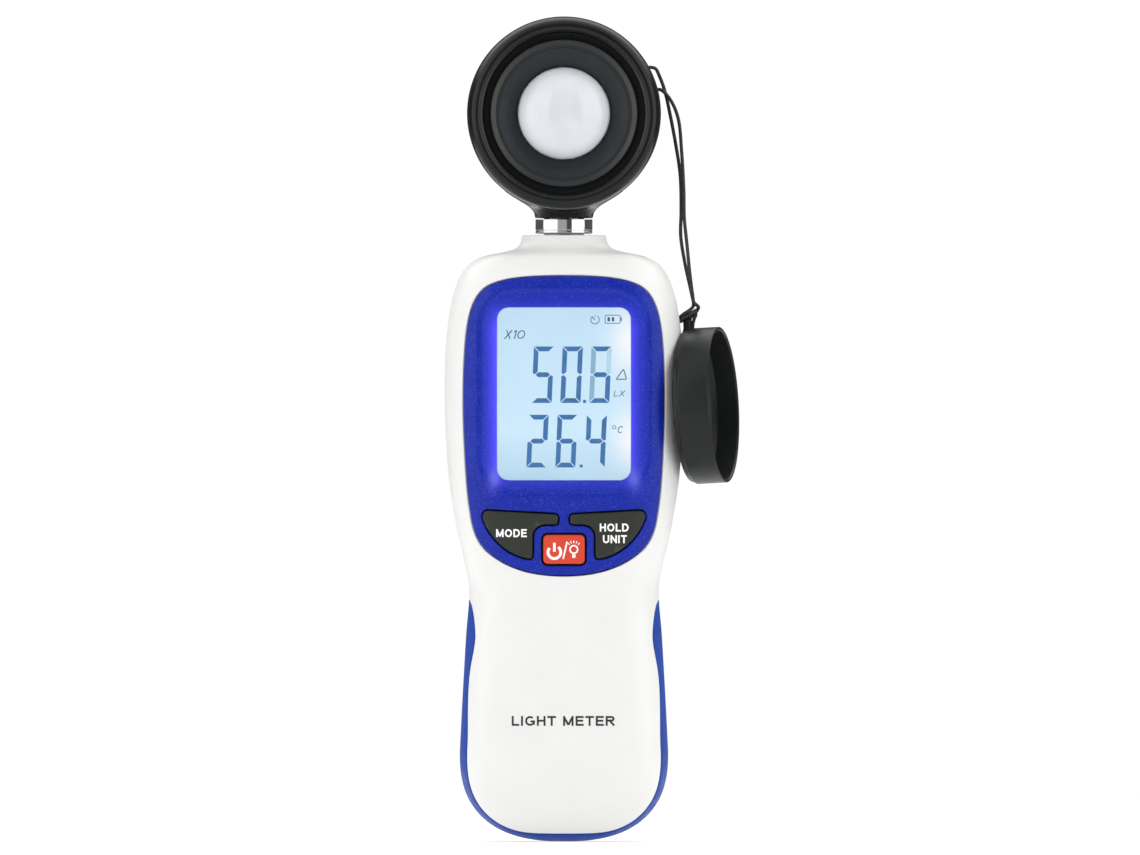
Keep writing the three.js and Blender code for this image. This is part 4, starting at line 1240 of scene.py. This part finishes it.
def letter_lines(letter, t):
    """Centre lines of a plain capital one unit tall, drawn with a pen of width t, and its width."""
    h = t / 2

    def line(*points):
        return list(points)

    def post(x):
        return line((x, 0), (x, 1))

    if letter == "I":
        return [post(h)], t
    if letter == "1":
        return [post(0.3), line((0.3, 0.97), (0.06, 0.8))], 0.38
    if letter == "L":
        return [post(h), line((h, h), (0.62, h))], 0.62
    if letter == "T":
        return [line((0, 1 - h), (0.7, 1 - h)), line((0.35, 0), (0.35, 1 - h))], 0.7
    if letter == "X":
        return [line((h, 0), (0.74 - h, 1)), line((h, 1), (0.74 - h, 0))], 0.74
    if letter == "E":
        bars = [line((h, y), (x, y)) for x, y in ((0.67, 1 - h), (0.62, 0.52), (0.67, h))]
        return [post(h), *bars], 0.67
    if letter == "H":
        return [post(h), post(0.74 - h), line((h, 0.52), (0.74 - h, 0.52))], 0.74
    if letter == "N":
        return [post(h), post(0.76 - h), line((h, 1 - h), (0.76 - h, h))], 0.76
    if letter == "M":
        slopes = [line((h, 1 - h), (0.44, h)), line((0.44, h), (0.88 - h, 1 - h))]
        return [post(h), post(0.88 - h), *slopes], 0.88
    if letter == "U":
        bowl = arc((0.38, 0.38), (0.38 - h, 0.38 - h), 180, 360)
        return [line((h, 1), *bowl, (0.76 - h, 1))], 0.76
    if letter == "D":
        bowl = arc((0.36, 0.5), (0.42 - h, 0.5 - h), 90, -90)
        return [post(h), line((h, 1 - h), *bowl, (h, h))], 0.78
    if letter == "R":
        bowl = arc((0.48, 0.72), (0.28 - h, 0.28 - h), 90, -90)
        return [post(h), line((h, 1 - h), *bowl, (h, 0.44 + h)), line((0.38, 0.48), (0.7, h * 0.3))], 0.78
    if letter == "C":
        return [arc((0.41, 0.5), (0.41 - h, 0.5 - h), 48, 312, 14)], 0.76
    if letter == "G":
        bowl = arc((0.42, 0.5), (0.42 - h, 0.5 - h), 48, 318, 14)
        return [bowl, line((0.46, 0.45), (0.82, 0.45)), line((0.82 - h, 0.5), (0.82 - h, 0.12))], 0.82
    return [arc((0.43, 0.5), (0.43 - h, 0.5 - h), 0, 360, 20)], 0.86


LETTER_GAP, WORD_GAP = 0.13, 0.42


def words(text, height, x, foot, width, pen=0.19, shear=0.0):
    """Capitals drawn with strokes, centred on x and fitted to a width."""
    placed, cursor = [], 0.0
    for letter in text:
        if letter == " ":
            cursor += WORD_GAP
            continue
        lines, wide = letter_lines(letter, pen)
        placed += [[(cursor + px, py) for px, py in line] for line in lines]
        cursor += wide + LETTER_GAP
    scale = width / (cursor - LETTER_GAP)
    shapes = []
    for line in placed:
        drawn = [(x - width / 2 + px * scale + shear * py * height, foot + py * height) for px, py in line]
        shapes += stroke(drawn, pen * height)
    return shapes


def ink(name, shapes, material):
    """Something drawn by the display."""
    dress(printed(name, shapes, INK_NEAR, INK_FAR), "housing", "lcd_glass", material)


UPPER_ROW = dict(foot=98.4, wide=4.55, tall=12.65)
LOWER_ROW = dict(foot=83.95, wide=4.5, tall=11.8)
FADING = dict(x=5.6, **UPPER_ROW)
bars = []
for letter, place, row in (("5", -7.3, UPPER_ROW), ("0", -0.85, UPPER_ROW), ("2", -8.45, LOWER_ROW),
                           ("6", -1.95, LOWER_ROW), ("4", 4.6, LOWER_ROW)):
    bars += segment_shapes(DIGITS[letter], place, **row)
bars += segment_shapes("agcd", **FADING)
bars += [rectangle(4.25, 98.4, 4.95, 99.1), rectangle(3.5, 83.95, 4.2, 84.6)]
ink("lcd_figures", bars, SEGMENT_DARK)
ink("lcd_fading_bars", segment_shapes("ef", **FADING), SEGMENT_PALE)
ink("lcd_faded_bar", segment_shapes("b", **FADING), SEGMENT_FAINT)

TIMER_X, TIMER_HEIGHT = 6.95, 117.05
icons = stroke(arc((TIMER_X, TIMER_HEIGHT), (0.95, 0.95), 55, -230, 19), 0.17)
icons += stroke([(TIMER_X - 0.6, TIMER_HEIGHT + 0.55), (TIMER_X, TIMER_HEIGHT)], 0.2)
icons += stroke([(TIMER_X, TIMER_HEIGHT + 1), (TIMER_X, TIMER_HEIGHT + 0.7)], 0.17)
icons += stroke(rounded_box(3.35, 1.8, 117.15, 0.2, 10.9, 2), 0.16, closed=True)
icons += [rectangle(12.7, 116.75, 12.95, 117.55)]
icons += [rectangle(x, 116.7, x + 0.55, 117.6) for x in (9.75, 10.7)]
icons += stroke(along([(11.7, 103.7), (14.0, 103.7), (13.35, 106.0)], 0.3, closed=True), 0.22, closed=True)
icons += stroke(circle(11.25, 92.95, 0.38, 16), 0.14, closed=True)
ink("lcd_icons", icons, ICON_DARK)
for name, text, height, x, foot, width in (
    ("lcd_range", "X10", 1.95, -11.2, 112.75, 4.5), ("lcd_lux", "LX", 1.35, 12.25, 99.85, 2.4),
    ("lcd_celsius", "C", 1.55, 12.45, 91.65, 1.2),
):
    ink(name, words(text, height, x, foot, width, 0.12, 0.25), ICON_DARK)

WINDOW_Y = -14.75


def window_face(uv):
    return np.stack([uv[:, 0], np.full(len(uv), WINDOW_Y), uv[:, 1]], axis=1)


PANE = rounded_box(2 * WINDOW_HALF[0] - 0.5, 2 * WINDOW_HALF[1] - 0.5, LCD_MIDDLE, 2.35)
window = skin("lcd_window_pane", window_face, PANE, thick=0.9, edge=0.12, spacing=3.0)
dress(window, "housing", "clear_window", replaces=("lcd_window",))

# ---- Print on the keys and the grip ---------------------------------------------------------

KEY_PRINT_DEPTHS, GRIP_PRINT_DEPTHS = (-0.375, -0.33), (-0.03, 0.02)

for name, text, x, foot, width, body in (
    ("mode_label", "MODE", -11.75, 68.35, 6.9, "mode_key"),
    ("hold_label", "HOLD", 11.25, 69.6, 6.5, "hold_key"),
    ("unit_label", "UNIT", 11.4, 67.0, 5.4, "hold_key"),
):
    label = printed(name, words(text, 1.8, x, foot, width, 0.2), *KEY_PRINT_DEPTHS, front)
    dress(label, body, "key_olive", PRINT_WHITE)


def power_icon():
    """A power ring, a slash and a lamp with its rays."""
    ring_x, bulb = -2.15, np.array([2.2, POWER_MIDDLE])
    shapes = stroke(arc((ring_x, POWER_MIDDLE - 0.62), (1.43, 1.43), 52, -221, 21), 0.62)
    shapes += stroke([(ring_x, POWER_MIDDLE + 1.5), (ring_x, POWER_MIDDLE - 0.5)], 0.58)
    shapes += stroke([(-0.2, POWER_MIDDLE - 2.15), (0.7, POWER_MIDDLE + 1.75)], 0.36)
    shapes += stroke(arc(bulb, (0.86, 0.86), 90, -270, 20), 0.34)
    shapes += stroke([bulb - (0, 1.1), bulb - (0, 1.85)], 0.74)
    for turn in (-42, -21, 0, 21, 42):
        direction = np.array([math.sin(math.radians(turn)), math.cos(math.radians(turn))])
        shapes += stroke([bulb + direction * 1.42, bulb + direction * 2.0], 0.21)
    return shapes


dress(printed("power_label", power_icon(), *KEY_PRINT_DEPTHS, front), "power_key", "key_red", PRINT_WHITE)
dress(printed("front_label", words("LIGHT METER", 2.2, -0.15, 26.1, 23.2, 0.2), *GRIP_PRINT_DEPTHS, front),
      "housing", "white_abs", PRINT_GREY)

# ---- Sensor head ----------------------------------------------------------------------------

HEAD_AXIS = axis_frame((0, 0, HEAD_HEIGHT), (0, 1, 0))
NECK_FLARE = spline([(6.5, 139.9), (6.7, 141.2), (7.7, 143.2), (9.6, 145.2), (12.4, 147.3)], 0.15)
NECK_BLEND = 2.6
OUTER_WALL = 20.3


def neck_reach(turns, y):
    """How far the neck's flare reaches from the head's axis, for each turn from straight down."""
    wide = NECK_FLARE[:, 0] > abs(y)
    if not wide.any():
        return np.zeros_like(turns)
    flare = NECK_FLARE[wide]
    across = np.sqrt(flare[:, 0] ** 2 - y * y)
    angles = np.arctan2(across, HEAD_HEIGHT - flare[:, 1])
    reach = np.hypot(across, HEAD_HEIGHT - flare[:, 1])
    found = np.interp(np.abs(turns), angles, reach, right=0.0)
    foot = (HEAD_HEIGHT - NECK_FLARE[0, 1]) / np.cos(np.clip(np.abs(turns), 0, 1.2))
    return np.where((np.abs(turns) < angles[0]) & (abs(y) < NECK_FLARE[0, 0]), foot, found)


HEAD_TURNS = np.concatenate([np.linspace(-math.pi, -0.75, 84), np.linspace(-0.75, 0.75, 150)[1:-1],
                             np.linspace(0.75, math.pi, 84)])[:-1]


def head_shell(name, profile):
    """A shell turned about the head's axis whose outer wall runs smoothly into the neck."""
    rows, points = [], []
    for radius, y in profile:
        if radius < 1e-6:
            rows.append([len(points)])
            points.append((0.0, y, HEAD_HEIGHT))
            continue
        reach = np.full(len(HEAD_TURNS), float(radius))
        if radius > OUTER_WALL:
            neck = neck_reach(HEAD_TURNS, y)
            over = np.maximum(NECK_BLEND - np.abs(reach - neck), 0) / NECK_BLEND
            reach = np.maximum(reach, neck) + over * over * NECK_BLEND / 4
        rows.append(list(range(len(points), len(points) + len(HEAD_TURNS))))
        points += [(r * math.sin(a), y, HEAD_HEIGHT - r * math.cos(a)) for r, a in zip(reach, HEAD_TURNS)]
    return make_object(name, points, outward(points, row_faces(rows, len(HEAD_TURNS))))


def rod(name, radius, low, high, matrix, sides=32):
    """A plain cylinder between two distances along the matrix's local X."""
    return turned(name, [(0, low), (radius, low), (radius, high), (0, high)], matrix, sides)


def at_y(x, height):
    """A matrix whose local X runs to the rear from a place in the front view."""
    return axis_frame((x, 0, height), (0, 1, 0))


def head_sector(name, inner, outer, start, end, near, far):
    """Part of a ring about the head's axis, as a prism."""
    angles = np.radians(np.linspace(start, end, 10))
    rim = [(outer * math.cos(a), HEAD_HEIGHT + outer * math.sin(a)) for a in angles]
    rim += [(inner * math.cos(a), HEAD_HEIGHT + inner * math.sin(a)) for a in angles[::-1]]
    return prism(name, rim, near, far)


def neck_bores():
    """What makes room in either half of the head for the spindle."""
    return [rod("bore", 4.8, 130, 150, NECK_AXIS), rod("seat", 5.9, 144.3, 150, NECK_AXIS)]


HEAD_RADIUS, HEAD_INNER = 21.75, 19.75
SCREW_CIRCLE = 16.4
HEAD_SCREWS = arc((0, HEAD_HEIGHT), (SCREW_CIRCLE, SCREW_CIRCLE), 90, 330, 2)
wall = [(HEAD_RADIUS, y) for y in np.arange(-7.4, -0.6, 0.6)]
front_rim = [(11.6, -9.0), (14.0, -9.0), (17.7, -9.0), (18.1, -9.06)]
front_rim += [(18.2, y) for y in (-9.3, -10.4, -11.4, -11.9)]
crown = spline([(18.2, -12.1), (18.26, -12.35), (18.5, -12.75), (18.9, -13.15), (19.5, -13.4), (20.4, -13.1),
                (21.2, -12.1), (21.6, -10.6), (HEAD_RADIUS, -8)], 0.25)
front_edge = softened([(HEAD_RADIUS, -0.75), (HEAD_RADIUS, -PARTING), (HEAD_INNER, -PARTING)], 0.25,
                      closed=False)
front_profile = [*front_rim, *crown, *wall, *front_edge, (HEAD_INNER, -7.2), (11.6, -7.2)]
head_front = combined(head_shell("head_front_skin", front_profile), neck_bores(), "DIFFERENCE")
dress(head_front, "head", "head_black", replaces=("head_front_shell",))

back_wall = [(HEAD_RADIUS, y) for y in np.arange(0.9, 4.0, 0.6)]
back_edge = softened([(HEAD_INNER, PARTING), (HEAD_RADIUS, PARTING), (HEAD_RADIUS, 0.8)], 0.25, closed=False)
back_crown = spline([(HEAD_RADIUS, 4.2), (21.6, 6.6), (20.8, 9.2), (18.6, 11.3), (15.5, 12.0)], 0.4)
back_profile = [(0, 12.0), (8, 12.0), *back_crown[::-1], *back_wall[::-1], *back_edge[::-1],
                (HEAD_INNER, 5.5), (18.6, 8.4), (16, 10.0), (0, 10.0)]
posts, holes, sinks = [], [], []
for at, (x, height) in enumerate(HEAD_SCREWS):
    posts.append(rod(f"post_{at}", 2.9, PARTING + 0.05, 10.8, at_y(x, height)))
    holes.append(rod(f"hole_{at}", 1.3, -1, 14, at_y(x, height), 20))
    sinks.append(rod(f"sink_{at}", 2.2, 8.2, 14, at_y(x, height)))
posts.append(head_sector("pad", 17.2, 21.15, 9.5, 35.0, PARTING + 0.05, 4.5))
channels = [head_sector("channel", 18.6, outer, start, end, SLOT_Y - 0.8, SLOT_Y + 0.8)
            for outer, start, end in ((20.2, 12.3, 32.2), (23.5, 12.3, 16.7), (23.5, 27.8, 32.2))]
head_rear = combined(head_shell("head_rear_skin", back_profile), posts, "UNION")
combined(head_rear, [*neck_bores(), *holes, *sinks, *channels], "DIFFERENCE")
dress(head_rear, "head", "head_black", replaces=("head_rear_shell",))

ring_profile = softened([(16.5, -9.3), (16.5, -12.7), (16.3, -12.95), (15.3, -12.45), (14.75, -12.4),
                         (14.65, -12.05), (12.6, -11.2), (10.6, -10.7), (10.45, -9.3)], 0.14)
dress(turned("dome_ring_turned", ring_profile, HEAD_AXIS, 128), "head", "ring_black", replaces=("dome_ring",))

DOME_RADIUS, DOME_TIP, DOME_RISE = 10.3, -17.6, 7.2
DOME_INNER, DOME_WALL, DOME_INNER_RISE = 9.3, 1.1, 6.2
sweep = [math.radians(a) for a in range(0, 91, 5)]
dome_profile = [(DOME_RADIUS * math.sin(a), DOME_TIP + DOME_RISE * (1 - math.cos(a))) for a in sweep]
dome_profile += [(DOME_RADIUS, -8.9), (11.2, -8.9), (11.2, -7.6), (DOME_INNER, -7.6)]
dome_profile += [(DOME_INNER * math.sin(a), DOME_TIP + DOME_WALL + DOME_INNER_RISE * (1 - math.cos(a)))
                 for a in sweep[::-1]]
dress(turned("sensor_dome_turned", dome_profile, HEAD_AXIS), "head", "dome_white", replaces=("sensor_dome",))

spindle_profile = softened([
    (2.4, 125), (4.5, 125), (4.5, 126.1), (3.9, 126.1), (3.9, 127.1), (4.5, 127.1), (4.5, 136.4),
    (6.25, 136.4), (6.4, 136.6), (6.4, 136.95), (6.22, 137.05), (6.22, 137.15), (6.4, 137.25), (6.4, 139.6),
    (4.5, 139.6), (4.5, 144.8), (5.6, 144.8), (5.6, 146.2), (2.4, 146.2),
], 0.1)
dress(turned("swivel_collar", spindle_profile, NECK_AXIS), "head", "chrome", replaces=("swivel_spindle",))

# ---- Screws ---------------------------------------------------------------------------------


def make_screw(node, body):
    """A pan-head screw with a cross recess, where the CAD has its own."""
    low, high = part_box(node)
    x, height = (low.x + high.x) * 500, ((low.z + high.z) / 2 - FOOT) * 1000
    tip, top = low.y * 1000, high.y * 1000
    seat = top - 1.4
    profile = [(0, tip), (0.5, tip + 0.6), (0.98, tip + 1.5), (0.98, seat), (1.88, seat), (1.88, seat + 0.55),
               (1.6, seat + 1.1), (1.1, seat + 1.35), (0, top)]
    obj = turned(node + "_turned", profile, at_y(x, height), 32)
    slots = [prism("slot", rectangle(x - a, height - b, x + a, height + b), seat + 0.55, seat + 3)
             for a, b in ((1.15, 0.24), (0.24, 1.15))]
    combined(obj, slots, "DIFFERENCE")
    dress(obj, body, "steel", replaces=(node,))


for node_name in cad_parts:
    if "screw" in node_name:
        make_screw(node_name, "head" if node_name.startswith("head") else "housing")

for at, (x, height) in enumerate(SCREW_PLACES):
    reach = float(rear(np.array([[-x, height]]))[0, 1])
    sleeve = [(2.3, 7.8), (2.3, reach - 0.9), (2.9, reach - 0.9), (2.9, 7.0), (1.3, 7.0), (1.3, 7.8)]
    dress(turned(f"screw_well_{at + 1}", softened(sleeve, 0.08), at_y(x, height), 40), "housing", "white_abs")

# ---- Cells ----------------------------------------------------------------------------------

CELL_Y, CELL_LENGTH = 6.4, 44.5
WRAP_PROFILE = softened([(5.05, 0.5), (5.25, 0.55), (5.25, 43.0), (4.9, 43.35), (4.6, 43.35), (5.0, 42.9)],
                        0.15)
CAN_EDGE = softened([(3.6, 0.1), (3.7, 0.0), (4.9, 0.05), (5.0, 0.4), (5.0, 42.8), (4.5, 43.3), (2.6, 43.5),
                     (1.9, 43.5), (1.9, 44.3), (1.7, 44.5)], 0.1, closed=False)
COIL_TURNS, COIL_STEPS, COIL_WIDE, COIL_NARROW = 2.5, 80, 3.6, 2.5


def make_cell(number):
    """A cell's can and wrap, and the coil that presses on its flat end; the middle cell is upside down."""
    low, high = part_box(f"cell_{number}")
    x, upright = (low.x + high.x) * 500, number != 2
    foot = (low.z - FOOT) * 1000
    place = axis_frame((x, CELL_Y, foot if upright else foot + CELL_LENGTH), (0, 0, 1 if upright else -1),
                       up=(1, 0, 0))
    dress(turned(f"cell_{number}_wrap", WRAP_PROFILE, place, 64), "housing", "cell_wrap",
          replaces=(f"cell_{number}",))
    can = [(0, 0.1), *CAN_EDGE, (0, CELL_LENGTH)]
    dress(turned(f"cell_{number}_can", can, place, 64), "housing", "steel")
    low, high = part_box(f"cell_spring_{number}")
    start, end = ((value - FOOT) * 1000 for value in (low.z + 0.0003, high.z - 0.0003))
    if not upright:
        start, end = end, start
    coil = []
    for share in np.arange(COIL_STEPS + 1) / COIL_STEPS:
        turn = share * COIL_TURNS * 2 * math.pi
        radius = COIL_WIDE + (COIL_NARROW - COIL_WIDE) * share
        lift = start + (end - start) * share
        coil.append((x + radius * math.cos(turn), CELL_Y + radius * math.sin(turn), lift))
    dress(tube(f"cell_{number}_coil", coil, 0.3, 10), "housing", "steel", replaces=(f"cell_spring_{number}",))


for cell_number in (1, 2, 3):
    make_cell(cell_number)

TRAY_FOOT, TRAY_TOP, TRAY_WIDE, TRAY_WALL = 9.0, 58.9, 34.0, 1.3


def make_tray():
    """The cells' compartment, open towards the door, with two ribs that part the cells."""
    tall, middle = TRAY_TOP - TRAY_FOOT, (TRAY_TOP + TRAY_FOOT) / 2
    outline = rounded_box(TRAY_WIDE + 2 * TRAY_WALL, tall + 2 * TRAY_WALL, middle, 1.8)
    tray = prism("battery_tray", outline, 0.3, 10.4)
    combined(tray, [prism("hollow", rounded_box(TRAY_WIDE, tall, middle, 0.8), 0.85, 12)], "DIFFERENCE")
    for x in (-5.5, 5.5):
        rib = prism("rib", [(x - 0.5, 18), (x + 0.5, 18), (x + 0.35, 54), (x - 0.35, 54)], 0.8, 3.2)
        tray = joined(tray, rib)
    tray.name = "battery_tray"
    dress(tray, "housing", "white_abs")


make_tray()

# ---- Cap and knot ---------------------------------------------------------------------------

CAP_TURN, CAP_TILT = math.radians(-12), math.radians(-3)
CAP_MIDDLE = (27.65, 0, 97.6)
CAP_PLACE = Matrix.Translation(CAP_MIDDLE)
CAP_PLACE @= Matrix.Rotation(CAP_TURN, 4, "Z") @ Matrix.Rotation(CAP_TILT, 4, "Y")
LUG_PLACE = CAP_PLACE @ axis_frame((1.05, 0, 0), (0, 0, 1), up=(1, 0, 0))
cup_profile = softened([
    (14.5, 0), (16.3, 0), (16.95, 0.35), (17.2, 1.2), (17.42, 1.4), (17.5, 1.7), (17.5, 8.3), (16.85, 8.3),
    (16.7, 8.0), (16.7, 3.4), (16.1, 2.1), (15.3, 1.4), (14.0, 1.1), (6.0, 1.1),
], 0.22, closed=False, steps=4)
cap = turned("sensor_cap_turned", [(0, 0), *cup_profile, (0, 1.1)], CAP_PLACE, 144)
lug_profile = softened([(1.3, 16.6), (0.98, 17.4), (0.95, 19.5), (1.3, 19.9), (1.3, 20.5), (0.8, 21.05)], 0.3,
                       closed=False)
lug = turned("lug", [(0, 16.6), *lug_profile, (0, 21.15)], LUG_PLACE, 32)
combined(cap, [lug], "UNION")
dress(cap, "cap", "cap_black", replaces=("sensor_cap",))

KNOT_LINE = [
    (29.1, 0.15, 121.0), (29.0, -0.4, 120.1), (28.2, -1.2, 119.25), (27.0, -1.35, 118.45),
    (26.1, -0.7, 117.7), (25.95, 0.3, 117.3), (26.6, 1.25, 117.5), (27.8, 1.5, 118.1),
    (29.1, 1.1, 118.9), (29.65, 0.1, 119.2), (28.9, -1.1, 118.65), (27.6, -1.65, 117.85),
    (26.3, -1.3, 117.1), (25.75, -0.1, 116.6), (26.4, 1.2, 116.8), (27.8, 1.55, 117.4),
    (29.2, 1.0, 118.4), (30.0, -0.1, 119.4), (30.2, -0.5, 119.9), (29.75, -0.85, 120.4), (29.1, -1.0, 121.0),
]
KNOT_TAIL = [(29.5, 0.6, 118.9), (29.6, 0.0, 118.2), (29.2, -0.35, 117.2), (28.95, -0.4, 116.2),
             (28.85, -0.3, 114.9)]
knot = tube("cap_cord_hitch", spline(KNOT_LINE, 0.25), CORD_RADIUS, 12)
knot = joined(knot, tube("tail", spline(KNOT_TAIL, 0.3), CORD_RADIUS, 12))
dress(knot, "cap", "cord_black", replaces=("cap_cord_knot",))

# ---- Lighting -------------------------------------------------------------------------------

BANDS = [
    (-180, 0.1), (-94, 0.1), (-88, 1.85), (-30, 1.85), (-25, 0.42), (9, 0.42), (13, 0.08), (31, 0.08),
    (35, 2.05), (88, 2.05), (94, 0.1), (180, 0.1),
]
BRIGHTEST = 2.5
OVERHEAD = 1.24
BACK_LIGHT = 2.3


def make_world():
    """Two tall soft boxes in front with dark cards round them, and light from above and from high behind."""
    world = bpy.data.worlds.new("studio")
    scene.world = world
    world.use_nodes = True
    tree = world.node_tree
    tree.nodes.clear()

    def add(kind, *values, **settings):
        node = tree.nodes.new(kind)
        for key, value in settings.items():
            setattr(node, key, value)
        for socket, value in zip(node.inputs, values):
            if isinstance(value, bpy.types.NodeSocket):
                tree.links.new(value, socket)
            else:
                socket.default_value = value
        return node

    def grey(strength):
        return (*[strength / BRIGHTEST] * 3, 1)

    def ramp(value, start, end):
        node = add("ShaderNodeMapRange", value)
        node.inputs["From Min"].default_value = start
        node.inputs["From Max"].default_value = end
        return node.outputs[0]

    def blended(share, first, second):
        node = tree.nodes.new("ShaderNodeMix")
        node.data_type = "RGBA"
        tree.links.new(share, node.inputs["Factor"])
        tree.links.new(first, node.inputs[6])
        node.inputs[7].default_value = grey(second)
        return node.outputs[2]

    def figure(operation, *values):
        return add("ShaderNodeMath", *values, operation=operation).outputs[0]

    across, away, up = add("ShaderNodeSeparateXYZ", add("ShaderNodeTexCoord").outputs["Generated"]).outputs
    turn = figure("ARCTAN2", across, figure("MULTIPLY", away, -1.0))
    bands = add("ShaderNodeValToRGB", ramp(turn, -math.pi, math.pi))
    stops = bands.color_ramp.elements
    while len(stops) > 1:
        stops.remove(stops[-1])
    for index, (angle, strength) in enumerate(BANDS):
        stop = stops[0] if index == 0 else stops.new((angle + 180) / 360)
        stop.position = (angle + 180) / 360
        stop.color = grey(strength)
    light = blended(ramp(up, 0.66, 0.76), bands.outputs["Color"], OVERHEAD)
    raised = ramp(figure("ABSOLUTE", up), 0.3, 0.5)
    behind = figure("MULTIPLY", ramp(away, 0.0, 0.15), ramp(away, 0.9, 0.72))
    light = blended(figure("MULTIPLY", behind, raised), light, BACK_LIGHT)
    room = add("ShaderNodeBackground", light, BRIGHTEST).outputs[0]
    plain = add("ShaderNodeBackground", (1, 1, 1, 1), 1.02).outputs[0]
    seen = add("ShaderNodeLightPath").outputs["Is Camera Ray"]
    add("ShaderNodeOutputWorld", add("ShaderNodeMixShader", seen, room, plain).outputs[0])


FLOOR_RADII, FLOOR_SIDES, FLOOR_GLOW = (200.0, 600.0), 64, 0.62


def make_floor():
    """A round floor that is as white as the background where nothing shades it."""
    turns = np.arange(FLOOR_SIDES) * 2 * math.pi / FLOOR_SIDES
    points = [(0, 0, 0)]
    points += [(radius * math.cos(a), radius * math.sin(a), 0) for radius in FLOOR_RADII for a in turns]
    faces = []
    for side in range(FLOOR_SIDES):
        here, ahead = 1 + side, 1 + (side + 1) % FLOOR_SIDES
        faces += [(0, here, ahead), (here, FLOOR_SIDES + here, FLOOR_SIDES + ahead, ahead)]
    floor = make_object("floor", points, faces)
    paint = moulded("floor", [0.45, 0.45, 0.45], 0.9, 0.003, Specular_IOR_Level=0.0,
                    Emission_Color=(1, 1, 1), Emission_Strength=FLOOR_GLOW)
    floor.data.materials.append(paint)


make_world()
make_floor()
scene.view_settings.view_transform = "Standard"
